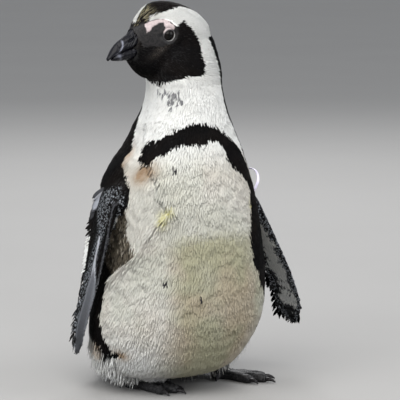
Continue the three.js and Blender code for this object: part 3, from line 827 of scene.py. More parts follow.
def white_feathers(f, look, chance, patchy, fine, broad):
    """White plumage with the belly's cream and painted shade, its stains, the flank's mud and painted shade,
    the flippers' grey, and dark spots.
    """
    # The stain colours are dark enough to carry the lower belly's painted shade as well.
    tan = f.mix(f.noise(14, 2).step(0.45, 0.62), tuple(look.cream), tuple(look.tan))
    colour = f.mix(f.mark("cream") + (broad - 0.5) * 0.4, tuple(look.white), tan)
    colour = f.mix(f.mark("soiled") * (0.7 + (patchy - 0.5) * 1.4), colour, tuple(look.soiled))
    colour = f.mix(f.mark("brown") * (0.95 + (patchy - 0.5) * 1.4), colour, tuple(look.stain_brown))
    colour = f.mix(f.mark("yellow") * (0.7 + (fine - 0.5) * 1.6), colour, tuple(look.stain_yellow))
    # The flank's mud mottling, which also stands for painted shade beside the right flipper.
    mud_and_shade_share = (f.mark("flank") * 1.25 + (chance - 0.5) * 0.7 + (patchy - 0.5) * 0.8).step(0.3, 0.8)
    mud_and_shade = f.mix((patchy * 0.9 + chance * 0.5).step(0.55, 0.8), SHADES["mud_and_shade_dark"], SHADES["mud_and_shade"])
    mud_and_shade = f.mix((chance + fine * 0.3).step(1.0, 1.1), mud_and_shade, SHADES["mud_and_shade_tip"])
    colour = f.mix(mud_and_shade_share, colour, mud_and_shade)
    colour = f.mix(f.mark("grey") * (0.8 + (chance - 0.5) * 0.8), colour, tuple(look.flipper_grey))
    speck = (f.mark("speck") + (chance - 0.5) * 2.0 + (patchy - 0.5) * 3).step(-0.9, 1.1) * 0.82
    colour = f.mix(speck, colour, SHADES["speck"])
    return f.mix((f.mark("spot") + (chance - 0.5) * 1.2).step(-0.3, 0.6), colour, SHADES["spot"])


def black_feathers(f, look, chance, along, fine, broad):
    """Black plumage, browner where worn, with the forehead's pale tips, the flippers' net and strip with a
    painted highlight along the strip's borders, and a painted sheen on the cheek's brown-grey feathers.
    """
    black = tuple(look.black)
    dark = f.mix(broad.step(0.4, 0.65), black, (black[0] * 1.8, black[1] * 1.5, black[2] * 1.25))
    frost = f.mark("forehead") * chance.step(0.56, 0.66) * (0.35 + along.step(0.0, 0.4) * 0.65)
    dark = f.mix(frost * 0.9, dark, SHADES["frost"])
    net = f.cells(390).step(0.50, 0.34)
    tips = chance.step(0.72, 0.9) * along.step(0.35, 0.7)
    dark = f.mix(f.mark("fleck") * (net * 0.9).most(tips * 0.4), dark, SHADES["net"])
    grey = f.mark("grey")
    # Where the strip's grey runs past 1, in its two bright places and along its borders, it turns a paler
    # grey; at the borders this is painted highlight.
    strip = f.mix(grey.step(1.0, 1.7), tuple(look.flipper_grey), SHADES["strip_edge_highlight"])
    dark = f.mix(grey * (0.85 + (fine - 0.5) * 0.4), dark, strip)
    # A painted sheen across the cheek's brown-grey feathers.
    return f.mix(f.mark("grizzle") * (0.35 + chance * 0.6) * along.step(0.1, 0.8), dark, SHADES["grizzle"])


def soft_normal(f, height):
    """Down is soft: a feather is lit more by how the plumage lies than by its own tiny faces."""
    own = f.add("NewGeometry", output="Normal")
    lying = f.add("Attribute", {"attribute_name": "plush"}, output="Vector")
    both = f.add("VectorMath", {"operation": "ADD"}, {0: f.dim(own, 0.14), 1: f.dim(lying, 0.86)})
    return f.bump(height, 0.15, 0.2, f.add("VectorMath", {"operation": "NORMALIZE"}, {0: both}))


def plumage_material(name, on_vanes):
    """Feathers, and the skin that shows between them, in one set of markings."""
    look = bpy.context.scene.penguin
    f = Finish(name)
    chance, along = f.mark("chance"), f.mark("along")
    patchy, fine, broad = f.noise(90), f.noise(420, 2), f.noise(22, 2)
    white = white_feathers(f, look, chance, patchy, fine, broad)
    black = black_feathers(f, look, chance, along, fine, broad)
    jitter = ((chance - 0.5) * 2.8 + (patchy - 0.5) * 7) * f.mark("ragged")
    colour = f.mix((f.mark("black") + jitter).step(-0.5, 0.5), white, black)
    # Feathers are darker at the root, and the skin between them too: painted shade where they overlap; they
    # also vary a little at random.
    colour = f.dim(colour, 0.95 + chance * 0.08 + (along.step(0.0, 0.7) - 0.6) * 0.08)
    rough = 0.72 + (fine - 0.5) * 0.2
    if on_vanes:
        constants = {
            "Specular IOR Level": 0.03, "Subsurface Weight": 0.35, "Subsurface Radius": (1.0, 0.95, 0.9),
            "Subsurface Scale": 1.6 * MM,
        }
        barbs = f.noise(1500, 2, (1, 1, 0.35))
        return f.close(constants, Base_Color=colour, Roughness=rough, Normal=soft_normal(f, barbs))
    # The bare face with its pink, and the scaly leather of the feet.
    bare = f.mark("bare").step(-0.4, 0.4)
    pinkness = (f.mark("pink") + (f.noise(260) - 0.5) * 5).step(-0.9, 1.1)
    mottled = fine.step(0.3, 0.7)
    face = f.mix(mottled, SHADES["face_dark"], SHADES["face"])
    pink = f.mix(mottled, tuple(look.pink), tuple(c * 0.8 for c in look.pink))
    colour = f.mix(bare, colour, f.mix(pinkness, face, pink))
    leather = f.mark("leather")
    scales = f.cells(520, "DISTANCE_TO_EDGE")
    sole = f.mix((fine * 0.6 + patchy * 0.5).step(0.42, 0.75), SHADES["sole_dark"], SHADES["sole"])
    sole = f.mix(scales.step(0.05, 0.0) * 0.6, sole, SHADES["sole_crack"])
    colour = f.mix(leather, colour, sole)
    relief = f.blend(leather, f.cells(900) * 0.6 + fine, scales.step(0.0, 0.12) + fine * 0.4)
    return f.close(
        {"Specular IOR Level": 0.22}, Base_Color=colour, Roughness=f.blend(leather.most(bare), rough, 0.48),
        Normal=f.bump(relief, 0.6, 0.5),
    )


def horn_material(name, base, pale=None):
    """Glossy black horn with growth lines, and pale streaks where a shade for them is given."""
    f = Finish(name)
    lines, fine = f.noise(260), f.noise(900)
    scratches = f.noise(300, 3, (1, 1, 3))
    colour = f.mix(lines.step(0.4, 0.75), base, tuple(c * 1.8 for c in base))
    rough = 0.34 + (lines - 0.5) * 0.25 + (scratches - 0.5) * 0.15
    if pale:
        colour = f.mix(f.mark("streak") * (0.85 + (fine - 0.5) * 0.9), colour, pale)
        rough = rough + f.mark("streak") * 0.12
    height = lines * 0.6 + fine * 0.1 + scratches * 0.3
    return f.close(
        {"Specular IOR Level": 0.14, "Coat Weight": 0.06, "Coat Roughness": 0.16},
        Base_Color=colour, Roughness=rough, Normal=f.bump(height, 0.35, 0.25),
    )


def lid_material():
    f = Finish("lid_skin")
    fine, beads = f.noise(1400), f.cells(1300)
    colour = f.mix(beads.step(0.2, 0.7) * 0.35, (0.035, 0.032, 0.034), (0.015, 0.014, 0.015))
    colour = f.mix(f.mark("blush") * 0.8, colour, tuple(bpy.context.scene.penguin.pink))
    colour = f.mix(f.mark("rim"), colour, (0.50, 0.49, 0.48))
    return f.close(
        {"Specular IOR Level": 0.4}, Base_Color=colour, Roughness=0.5 + (fine - 0.5) * 0.2,
        Normal=f.bump(beads + fine, 0.5, 0.2),
    )


def eye_material():
    """A dark brown iris round a black pupil, under a wet cornea; the mesh gives the radius in millimetres."""
    f = Finish("eye_brown")
    radius, rays = f.mark("radius"), f.noise(1800, 4)
    iris = f.mix(rays.step(0.3, 0.7), (0.0025, 0.0018, 0.0016), (0.006, 0.004, 0.0035))
    colour = f.mix(radius.step(3.0, 3.4), (0.001, 0.001, 0.001), iris)
    colour = f.mix(radius.step(4.7, 5.6), colour, (0.004, 0.003, 0.003))
    return f.close(
        {"Specular IOR Level": 0.08, "Coat Weight": 0.14, "Coat Roughness": 0.02},
        Base_Color=colour, Roughness=0.12 + rays * 0.05, Normal=f.bump(rays, 0.03, 0.1),
    )


def band_material():
    f = Finish("band_plastic")
    fine, grime = f.noise(700, 4), f.noise(160, 4)
    base = tuple(bpy.context.scene.penguin.band)
    colour = f.mix(grime.step(0.45, 0.75) * 0.5, base, tuple(c * 0.72 for c in base))
    return f.close(
        {"Specular IOR Level": 0.5}, Base_Color=colour, Roughness=0.38 + (fine - 0.5) * 0.3,
        Normal=f.bump(fine, 0.2, 0.15),
    )


def floor_material():
    f = Finish("floor_paint")
    broad = f.noise(3)
    base = tuple(bpy.context.scene.penguin.floor)
    colour = f.mix(broad.step(0.3, 0.7) * 0.3, base, tuple(c * 0.96 for c in base))
    return f.close({}, Base_Color=colour, Roughness=0.85 + (broad - 0.5) * 0.1)


# ---- the coat ----
VANES = {  # along the vane: share of its length, half width, rise; then the tip's rise
    "body_vane": (((0, 0.16, 0.0), (0.38, 0.5, 0.4), (0.78, 0.36, 0.3)), -0.6),
    "soft_vane": (((0, 0.2, 0.0), (0.42, 0.5, 0.4), (0.8, 0.26, 0.2)), -0.8),
    "short_vane": (((0, 0.25, 0.0), (0.55, 0.5, 0.3)), -0.4),
}


def vane_object(name):
    """A thin closed feather blade, one long and one wide, that lies along +Y."""
    rings, tip_rise = VANES[name]
    corners, faces = [], [(0, 2, 1)]
    for share, half, rise in rings:
        corners += [(-half, share, rise), (half, share, rise), (0, share, rise + 0.5)]
    corners.append((0, 1, tip_rise))
    last = 3 * (len(rings) - 1)
    for i, j in ((0, 1), (1, 2), (2, 0)):
        for a in range(0, last, 3):
            faces += [(a + i, a + j, a + 3 + j), (a + i, a + 3 + j, a + 3 + i)]
        faces.append((last + i, last + j, len(corners) - 1))
    return add_object(name, make_mesh(name, corners, faces, weld=False, unit_size=1))


class Nodes:
    """A Geometry Nodes tree under construction."""

    def __init__(self, name, sockets):
        self.tree = bpy.data.node_groups.new(name, "GeometryNodeTree")
        self.keys = {}
        for title, kind in sockets:
            made = self.tree.interface.new_socket(title, in_out="INPUT", socket_type=kind)
            self.keys[title] = made.identifier
        self.tree.interface.new_socket("Geometry", in_out="OUTPUT", socket_type="NodeSocketGeometry")
        self.start = self.tree.nodes.new("NodeGroupInput")
        self.end = self.tree.nodes.new("NodeGroupOutput")

    def add(self, kind, settings=None, values=None, output=0):
        node = self.tree.nodes.new(kind)
        for key, value in (settings or {}).items():
            setattr(node, key, value)
        for key, value in (values or {}).items():
            if isinstance(value, bpy.types.NodeSocket):
                self.tree.links.new(value, node.inputs[key])
            else:
                node.inputs[key].default_value = value
        return node.outputs[output]

    def given(self, title):
        return self.start.outputs[title]

    def named(self, name, kind="FLOAT"):
        return self.add("GeometryNodeInputNamedAttribute", {"data_type": kind}, {"Name": name})

    def math(self, operation, a, b):
        return self.add("ShaderNodeMath", {"operation": operation}, {0: a, 1: b})

    def random(self, low, high, seed):
        return self.add("FunctionNodeRandomValue", {"data_type": "FLOAT"},
                        {2: low, 3: high, "Seed": seed}, output=1)


def coat_tree():
    """Feathers set over a surface: spaced evenly, turned to the lie, raised, jittered and clumped."""
    n = Nodes("feather_coat", (
        ("Geometry", "NodeSocketGeometry"), ("Vane", "NodeSocketObject"), ("Spacing", "NodeSocketFloat"),
        ("Density", "NodeSocketFloat"), ("Thickness", "NodeSocketFloat"), ("Sway", "NodeSocketFloat"),
        ("Clump", "NodeSocketFloat"), ("Clump Scale", "NodeSocketFloat"), ("Seed", "NodeSocketInt"),
        ("Material", "NodeSocketMaterial"),
    ))
    points = n.add(
        "GeometryNodeDistributePointsOnFaces", {"distribute_method": "POISSON"},
        {"Mesh": n.given("Geometry"), "Distance Min": n.given("Spacing"), "Density Max": n.given("Density"),
         "Density Factor": n.named("cover"), "Seed": n.given("Seed")},
    )
    turned = n.add(
        "FunctionNodeAxesToRotation", {"primary_axis": "Z", "secondary_axis": "Y"},
        {0: n.named("outward", "FLOAT_VECTOR"), 1: n.named("lie", "FLOAT_VECTOR")},
    )
    where = n.add("GeometryNodeInputPosition")
    noise = n.add("ShaderNodeTexNoise", None,
                  {"Vector": where, "Scale": n.given("Clump Scale"), "Detail": 1.5}, output="Color")
    parts = n.tree.nodes.new("ShaderNodeSeparateXYZ")
    n.tree.links.new(noise, parts.inputs[0])
    clump = [
        n.math("MULTIPLY", n.math("SUBTRACT", part, 0.5), n.given("Clump")) for part in tuple(parts.outputs)
    ]
    wave = n.math("MULTIPLY", n.random(-1, 1, 11), n.given("Sway"))
    yaw = n.math("ADD", wave, n.math("MULTIPLY", clump[0], 2.2))
    roll = n.math("MULTIPLY", n.random(-0.25, 0.25, 23), n.given("Sway"))
    raised = n.math("MULTIPLY", n.named("lift"), n.random(0.55, 1.35, 31))
    raised = n.math("ADD", raised, n.math("MULTIPLY", clump[1], 0.22))
    turn = n.add("ShaderNodeCombineXYZ", None, {"X": raised, "Y": roll, "Z": yaw})
    by = n.add("FunctionNodeEulerToRotation", None, {0: turn})
    turned = n.add("FunctionNodeRotateRotation", {"rotation_space": "LOCAL"}, {0: turned, 1: by})
    size = n.random(0.8, 1.2, 47)
    bigger = n.math("ADD", 1.0, clump[2])
    length = n.math("MULTIPLY", n.math("MULTIPLY", n.named("vane_length"), size), bigger)
    width = n.math("MULTIPLY", n.named("vane_width"), n.random(0.8, 1.2, 53))
    scale = n.add("ShaderNodeCombineXYZ", None, {
        "X": n.math("MULTIPLY", width, MM), "Y": n.math("MULTIPLY", length, MM),
        "Z": n.given("Thickness"),
    })
    vane = n.add("GeometryNodeObjectInfo", None, {"Object": n.given("Vane")}, output="Geometry")
    placed = n.add("GeometryNodeInstanceOnPoints", None,
                   {"Points": points, "Instance": vane, "Rotation": turned, "Scale": scale})
    whole = n.add("GeometryNodeRealizeInstances", None, {"Geometry": placed})
    done = n.add("GeometryNodeSetMaterial", None, {"Geometry": whole, "Material": n.given("Material")})
    n.tree.links.new(done, n.end.inputs[0])
    return n


# Each coat piece: its vane, the spacing of its feathers, their thickness, how much they sway and clump, and
# how fine the clumps are.
COATS = {
    "coat_belly_left": ("soft_vane", 1.8, 0.22, 0.22, 0.26, 70),
    "coat_belly_right": ("soft_vane", 1.8, 0.22, 0.22, 0.26, 70),
    "coat_breast": ("soft_vane", 1.75, 0.22, 0.24, 0.34, 80),
    "coat_mantle": ("body_vane", 2.0, 0.24, 0.16, 0.25, 70),
    "coat_rump": ("body_vane", 2.15, 0.24, 0.20, 0.30, 70),
    "coat_neck": ("soft_vane", 1.5, 0.2, 0.24, 0.40, 90),
    "coat_head": ("short_vane", 1.08, 0.14, 0.2, 0.25, 140),
    "coat_flipper_left": ("body_vane", 1.45, 0.16, 0.16, 0.15, 90),
    "coat_flipper_right": ("body_vane", 1.45, 0.16, 0.16, 0.15, 90),
    "coat_tail": ("body_vane", 2.3, 0.26, 0.14, 0.15, 60),
}
DARK_COATS = ("coat_mantle", "coat_rump", "coat_flipper_left", "coat_flipper_right", "coat_tail")
MIDDLE_HEIGHT, NECK_HEIGHT, HEAD_HEIGHT = 185, 300, 364  # where one coat piece ends and the next begins
UV_HEIGHTS = {  # heights at the bottom and the top of the bake map
    "coat_belly_left": (-60, 190), "coat_belly_right": (-60, 190), "coat_rump": (-60, 190),
    "coat_tail": (-60, 120),
}


def coat_name(points, owner):
    """Which coat piece covers each point."""
    degrees, height = round_body(points)
    low = height < MIDDLE_HEIGHT
    belly = np.where(degrees > -8, "coat_belly_left", "coat_belly_right")
    front, behind = np.where(low, belly, "coat_breast"), np.where(low, "coat_rump", "coat_mantle")
    name = np.where(abs(degrees) < 92, front, behind)
    name = np.where(height > NECK_HEIGHT, "coat_neck", name)
    name = np.where(height > HEAD_HEIGHT, "coat_head", name)
    for number, piece in ((WING_LEFT, "flipper_left"), (WING_RIGHT, "flipper_right"), (TAIL, "tail")):
        name = np.where(owner == number, "coat_" + piece, name)
    return name.astype("<U24")


def unwrap(name, points):
    """Each feather's place on its piece's bake map, from 0 to 1 both ways."""
    if "flipper" in name:
        share, place, over, _, _ = along_flipper(points, name.split("_")[-1])
        across = np.where(over > 0, 0.25, 0.75) + 0.22 * np.clip(place, -1, 1)
        return np.stack([across, share * 0.96 + 0.02], 1)
    if name == "coat_head":
        ahead, left, up = on_head(points)
        around = np.arctan2(left, up + 12) / (2 * math.pi) + 0.5
        along = (ahead - 60) * 0.6 + np.where(up < -12, (up + 12) * 0.55, 0)
        return np.stack([around, np.clip(along / 110 + 0.95, 0, 1)], 1)
    degrees, height = round_body(points)
    behind = name in ("coat_mantle", "coat_rump", "coat_tail")
    around = (degrees % 360) / 360 if behind else degrees / 360 + 0.5
    if name != "coat_neck":
        around = (around - 0.5) * 1.9 + 0.5
    radius = np.hypot(points[:, 0] - BODY_MIDDLE[0], points[:, 1] - BODY_MIDDLE[1])
    run = np.where(height < 60, height - (95 - np.minimum(radius, 95)) * 0.7, height)
    low, high = UV_HEIGHTS.get(name, (180, 360))
    return np.stack([np.clip(around, 0, 1) * 0.98 + 0.01, np.clip((run - low) / (high - low), 0, 1)], 1)


UV_PATCH = 0.003  # side of each feather's own patch of the bake map


def mark_vanes(mesh, name, per_vane, seed, given=None):
    """Gives each feather the markings of the place it covers, a chance, and its patch of the bake map."""
    name = name.replace("feathers", "coat")
    points = read_points(mesh).reshape(-1, per_vane, 3)
    root, tip = points[:, :3].mean(1), points[:, -1]
    covers = 0.4 * root + 0.6 * tip
    if "flipper" in name:
        marks = flipper_marks(covers, name.split("_")[-1])
    elif name == "coat_tail":
        marks = tail_marks(covers)
    else:
        marks = body_marks(covers)
    rng = np.random.default_rng(seed)
    marks["chance"] = rng.random(len(root))
    for key in ("bare", "pink"):
        marks.pop(key)
    for key, values in marks.items():
        attribute(mesh, key, np.repeat((given or {}).get(key, values), per_vane))
    reach = np.maximum(np.linalg.norm(tip - root, axis=1), 1e-6)
    way = (tip - root) / reach[:, None]
    off = points - root[:, None]
    along = np.clip((off * way[:, None]).sum(2) / reach[:, None], 0, 1)
    attribute(mesh, "along", along.ravel())
    sideways = unit(np.cross(way, unit(points[:, 2] - root)))
    across = np.clip((off * sideways[:, None]).sum(2) / reach[:, None] + 0.5, 0, 1)
    patch = np.stack([across, along], 2) * UV_PATCH
    uv = (unwrap(name, root)[:, None] * (1 - UV_PATCH) + patch).reshape(-1, 2)
    corners = np.empty(len(mesh.loops), np.int32)
    mesh.loops.foreach_get("vertex_index", corners)
    layer = mesh.uv_layers.new(name="OFBake")
    layer.data.foreach_set("uv", uv[corners].astype(np.float32).ravel())


def coat_piece(name, skin, tree, material, seed):
    """One coat piece: feathers over its region of the skin. Returns how many they are."""
    vane_name, spacing, thickness, sway, clump, clump_scale = COATS[name]
    spacing *= bpy.context.scene.penguin.coat_spacing
    vane = vane_object(vane_name)
    per_vane = len(vane.data.vertices)
    host = skin.data.copy()
    build = bmesh.new()
    build.from_mesh(host)
    region = build.verts.layers.float["region"]
    middles = np.array([face.calc_center_median() for face in build.faces]) / MM
    owner = np.array([round(face.verts[0][region]) for face in build.faces])
    keep = coat_name(middles, owner) == name
    bmesh.ops.delete(build, geom=[f for f, yes in zip(build.faces, keep) if not yes], context="FACES")
    build.to_mesh(host)
    build.free()
    holder = add_object(name + "_host", host)
    step = holder.modifiers.new("coat", "NODES")
    step.node_group = tree.tree
    values = {
        "Vane": vane, "Spacing": spacing * MM, "Density": 4.0 / (spacing * MM) ** 2, "Sway": sway,
        "Thickness": thickness * MM, "Clump": clump, "Clump Scale": float(clump_scale), "Seed": seed,
        "Material": material,
    }
    for title, value in values.items():
        step[tree.keys[title]] = value
    depsgraph = bpy.context.evaluated_depsgraph_get()
    made = bpy.data.meshes.new_from_object(holder.evaluated_get(depsgraph), depsgraph=depsgraph)
    drop_object(holder)
    drop_object(vane)
    for layer in [a.name for a in made.attributes if not a.name.startswith(".")]:
        if layer not in ("position", "material_index", "sharp_face", "plush"):
            made.attributes.remove(made.attributes[layer])
    if len(made.vertices) % per_vane or not len(made.vertices):
        raise RuntimeError(f"{name}: {len(made.vertices)} corners are not whole feathers of {per_vane}")
    made.name = name
    mark_vanes(made, name, per_vane, seed)
    finish_piece(add_object(name, made), material, "black_feather" if name in DARK_COATS else "white_feather")
    return len(made.vertices) // per_vane


# ---- bill, eyes, claws, band ----
BILL_SWELL, BILL_VOXEL = 0.15, 0.62  # millimetres that the solid swells by, and the size of its new faces
CLAW_SWELL, CLAW_VOXEL = 0.1, 0.4


def smoothed_node(node, swell, voxel, rounds):
    """A node's solid with finer faces and its facets taken out, as mesh and corners."""
    mesh = remeshed(node_copy((node,), swell), voxel)
    points = read_points(mesh)
    return mesh, relax(points, read_edges(mesh), np.ones(len(points)), rounds)


def sculpted_bill(node, name, carve):
    """A bill half from its solid, smoothed and carved with its plates, grooves and folds."""
    mesh, points = smoothed_node(node, BILL_SWELL, BILL_VOXEL, 14)
    write_points(mesh, points)
    normals = read_normals(mesh)
    ahead, left, up = on_head(points)
    height, streak = carve(ahead, abs(left), up)
    points = points + normals * (height - BILL_SWELL)[:, None]
    # The halves meet without a gap: the lower one's rim rises inside the upper one's edge.
    sideways, upward = HEAD_AXES[:, 0], HEAD_AXES[:, 2]
    if node == "bill_lower":
        rim = smooth_step(up, -10.5, -7.5)
        points = points + upward * (rim * 1.2)[:, None] - sideways * (rim * left * 0.16)[:, None]
    else:
        lip = smooth_step(-up, 3.5, 6) * smooth_step(abs(left), 2, 5)
        points = points - upward * (lip * 0.5)[:, None]
    write_points(mesh, points)
    attribute(mesh, "streak", streak)
    return add_object(name, mesh)


def seam_at(ahead):
    """Height of the groove between the bill's roof plate and its side plate."""
    return np.interp(ahead, (26, 38, 50, 60, 67), (9.4, 5.6, 2.4, -0.8, -4.6))


def carve_upper(ahead, left, up):
    """Heights of the upper bill's relief, and its pale streaks."""
    off_seam = up - seam_at(ahead)
    groove = -0.7 * trough(off_seam, 0.9) * smooth_step(ahead, 28, 36) * (1 - smooth_step(ahead, 57, 65))
    slit = np.hypot((ahead - 41) / 5, (up - (seam_at(41) - 0.4 - (ahead - 41) * 0.25)) / 1.2)
    nostril = -1.4 * (1 - smooth_step(slit, 0.5, 1.1)) * (left > 4)
    folds = np.sin((ahead * 0.7 + up * 0.75 + 2.0 * np.sin(ahead * 0.28 + up * 0.35)) * 1.55) * 0.58
    folds *= (1 - smooth_step(ahead, 44, 55)) * smooth_step(left, 2, 5)
    hook = -0.4 * trough(ahead - 61 + (up + 4) * 0.35, 1.2) * smooth_step(left, 1, 4)
    edge = 0.4 * trough(up + 5.6 + smooth_step(ahead, 60, 73) * 3.5, 1.2)
    rings = 0.05 * np.sin(ahead * 3.1 + up)
    curve = np.interp(up, (-4, -2.5, 0.9, 5.6), (60, 58.2, 54.6, 52.2))
    streak = trough(ahead - curve, 1.1) * smooth_step(up, -5, -3) * (1 - smooth_step(up, 4.5, 7))
    patch = trough(ahead - 62, 3.4) * trough(up + 6.4, 1.3)
    return groove + nostril + folds + hook + edge + rings, np.clip(streak * 0.8 + patch * 0.7, 0, 1)


def carve_lower(ahead, left, up):
    """Heights of the lower bill's relief, alike over its whole width, and its pale streaks."""
    groove = -0.5 * trough(up + 13.6, 0.8) * (1 - smooth_step(ahead, 54, 62))
    folds = np.sin((ahead - up * 0.6 + np.sin(up * 0.9)) * 1.3) * 0.42 * (1 - smooth_step(ahead, 40, 50))
    notch = -0.4 * trough(ahead - 55 - (up + 12) * 0.3, 1.1)
    streak = trough(ahead - 60 - (up + 13) * 0.25, 1.5) * 0.45
    patch = trough(ahead - 61.5, 3.2) * trough(up + 9.2, 1.2) * 0.6
    return groove + folds + notch, (streak + patch) * 0.55


def lathe(profile, turns, place):
    """Rings of faces round a profile; place gives the point for each radius, height and angle."""
    corners, faces = [], []
    for radius, height in profile:
        for k in range(turns):
            corners.append(place(radius, height, 2 * math.pi * k / turns))
    for row in range(len(profile) - 1):
        for k in range(turns):
            a, b = row * turns + k, row * turns + (k + 1) % turns
            faces.append((a, b, b + turns, a + turns))
    return corners, faces


def eye_point(sign, across, up, height, turned):
    """A point of an eye or its lid, on an axis that turns ahead about the ball's middle."""
    c, s = math.cos(EYE_TURN * turned), math.sin(EYE_TURN * turned)
    ahead, out = across * c + height * s, height * c - across * s
    return head_point(EYE_AHEAD + ahead, sign * (EYE_SPREAD + out), EYE_UP + up)


def eye_place(points):
    """How far across, up and out each point lies from an eye's middle, on that turned axis."""
    ahead, left, up = on_head(points)
    out, forth = abs(left) - EYE_SPREAD, ahead - EYE_AHEAD
    c, s = math.cos(EYE_TURN), math.sin(EYE_TURN)
    return forth * c - out * s, up - EYE_UP, out * c + forth * s


def eye_piece(side):
    """An eyeball with a cornea that swells from its front."""
    sign = 1 if side == "left" else -1
    rings, turns, oval = 26, 48, 1.05
    profile = []
    for k in range(1, rings):
        angle = math.pi * k / rings
        swell = 0.35 * math.exp(-((math.degrees(angle) / 34) ** 2))
        radius = EYE_RADIUS + swell - 0.25
        profile.append((radius * math.sin(angle), radius * math.cos(angle)))

    def place(radius, height, angle):
        return eye_point(sign, radius * math.cos(angle) * oval, radius * math.sin(angle), height, 1.0)

    corners, faces = lathe(profile, turns, place)
    front, back = len(corners), len(corners) + 1
    corners += [place(0, EYE_RADIUS + 0.1, 0), place(0, -EYE_RADIUS + 0.25, 0)]
    last = (len(profile) - 1) * turns
    for k in range(turns):
        faces.append((k, (k + 1) % turns, front))
        faces.append((last + k, last + (k + 1) % turns, back))
    mesh = make_mesh("eyeball_" + side, corners, faces)
    across, up, out = eye_place(read_points(mesh))
    attribute(mesh, "radius", np.where(out > 0, np.hypot(across, up), 9.0))
    return add_object("eyeball_" + side, mesh)


LID_SECTION = (  # radius and height of a cut through the lids
    (6.0, 3.6), (5.95, 5.0), (6.05, 5.55), (6.35, 5.8), (6.8, 5.75), (7.3, 5.4), (7.9, 4.8), (8.6, 4.1),
    (8.6, 2.4), (6.8, 2.2), (6.0, 3.6),
)


def lid_piece(side):
    """The fleshy ring round an eye: an upper and a lower lid that meet in two corners."""
    sign = 1 if side == "left" else -1
    turns, oval = 72, 1.05

    def place(radius, height, angle):
        c, s = math.cos(angle), math.sin(angle)
        inner = 1 - min(max((radius - 5.9) / 2.6, 0), 1)
        upper, corner = max(s, 0.0), math.exp(-((s / 0.28) ** 2))
        pinch = 1 + inner * (0.06 * corner - 0.05 * upper)
        beads = 0.06 * math.sin(angle * 26 + radius) * (1 if 6 < radius < 7.6 else 0)
        lift = beads + 0.3 * upper * inner - 0.2 * corner - 0.5 * c * (1 - inner)
        return eye_point(sign, radius * pinch * c * oval, radius * pinch * s, height + lift, inner)

    mesh = make_mesh("lid_" + side, *lathe(LID_SECTION, turns, place))
    across, up, _ = eye_place(read_points(mesh))
    reach = np.maximum(np.hypot(across, up), 1e-6)
    behind_below = (-across * 0.6 - up * 0.8) / reach
    above_ahead = (across * 0.15 + up * 0.99) / reach
    attribute(mesh, "rim", 0.8 * trough(reach - 6.6, 0.6) * smooth_step(behind_below, 0.0, 0.8))
    attribute(mesh, "blush", smooth_step(reach, 6.6, 7.6) * smooth_step(above_ahead, 0.55, 0.95))
    return add_object("lid_" + side, mesh)


def claw_piece(node):
    """A horny claw: its solid made smooth, and kept just above the floor."""
    mesh, points = smoothed_node(node, CLAW_SWELL, CLAW_VOXEL, 8)
    points[:, 2] = np.maximum(points[:, 2], ABOVE_FLOOR)
    write_points(mesh, points)
    return add_object(node + "_sheath", mesh)


BAND_MIDDLE = np.array((63.8, -22.3, 233.0))
BAND_WIDE, BAND_THICK = 1.7, 0.75  # half sizes of the strap
BAND_LONG, BAND_SHORT = 21, 16  # half sizes of the oval that it runs on
CLASP_AT, CLASP_HALF, CLASP_RISE = 205, 12, 0.45  # degrees, degrees and millimetres


def band_piece():
    """The flipper ring: a flat strap with soft edges, whose ends overlap in a low clasp."""
    chord = unit(np.array((-0.1, 1, 0.05)))
    outward = np.array((0.4, 0, 0.92))
    outward = unit(outward - chord * (outward @ chord))
    along = np.cross(chord, outward)

    def squared(value):
        return math.copysign(abs(value) ** 0.5, value)

    def ramp(past):
        return 1 / (1 + math.exp(-past * 1.6))

    outline = [(squared(math.cos(t)) * BAND_WIDE, squared(math.sin(t)) * BAND_THICK)
               for t in np.linspace(0, 2 * math.pi, 16, endpoint=False)]
    turns, size = 120, len(outline)
    corners, faces = [], []
    for k in range(turns):
        angle = 2 * math.pi * k / turns
        past = math.degrees(angle) - CLASP_AT
        clasp = CLASP_RISE * (ramp(past + CLASP_HALF) - ramp(past - CLASP_HALF))
        for w, t in outline:
            reach = t + clasp * (1 if t > 0 else 0)
            point = BAND_MIDDLE + along * w * (1 + 0.12 * clasp)
            point = point + chord * math.cos(angle) * (BAND_LONG + reach)
            corners.append(point + outward * math.sin(angle) * (BAND_SHORT + reach))
        for i in range(size):
            j, m = (i + 1) % size, (k + 1) % turns
            faces.append((k * size + i, k * size + j, m * size + j, m * size + i))
    return add_object("band_strap", make_mesh("band_strap", corners, faces))


# ---- long feathers: tail quills, flipper fringes and rump plumes ----
def blade(points, widths, thick, face):
    """A thin closed blade along a line of points, with a raised shaft along its middle."""
    ways = unit(np.gradient(points, axis=0))
    corners, faces = [], [(3, 2, 1, 0)]
    for point, way, width in zip(points[:-1], ways, widths):
        up = unit(face - way * (face @ way))
        half = np.cross(way, up) * width / 2
        corners += [point - half, point + up * thick, point + half, point - up * thick * 0.4]
    corners.append(points[-1])
    last = 4 * (len(points) - 2)
    for i in range(4):
        j = (i + 1) % 4
        faces += [(a + i, a + j, a + j + 4, a + i + 4) for a in range(0, last, 4)]
        faces.append((last + i, last + j, last + 4))
    return corners, faces


LONG_ROWS = 6  # points along a long feather
SPAN = 243  # length of the right flipper's axis; the left one's feathers are laid out by it too

# Runs of feathers on a flipper's hind edge: from and to (share of the span), how many, how far inside the
# edge they are rooted, their reach along and behind, their width, and how black they are.
FRINGES = {
    "right": (
        (0.27, 0.42, 16, 7, 15, 12, 3.2, 4), (0.45, 0.61, 34, 8, 8, 6, 3.0, -6),
        (0.41, 0.60, 24, 17, 9, 0, 3.0, 4), (0.60, 0.84, 22, 4, 8, 2, 2.6, 4),
        (0.80, 0.92, 10, 7, 14, 11, 2.6, 4),
    ),
    "left": (
        (0.20, 0.45, 14, 6, 9, 3, 3.0, 4), (0.45, 0.70, 16, 5, 9, 2.5, 2.8, 4),
        (0.68, 0.93, 18, 6, 11, 4, 2.8, 4),
    ),
}
TIP_FEATHERS = 22
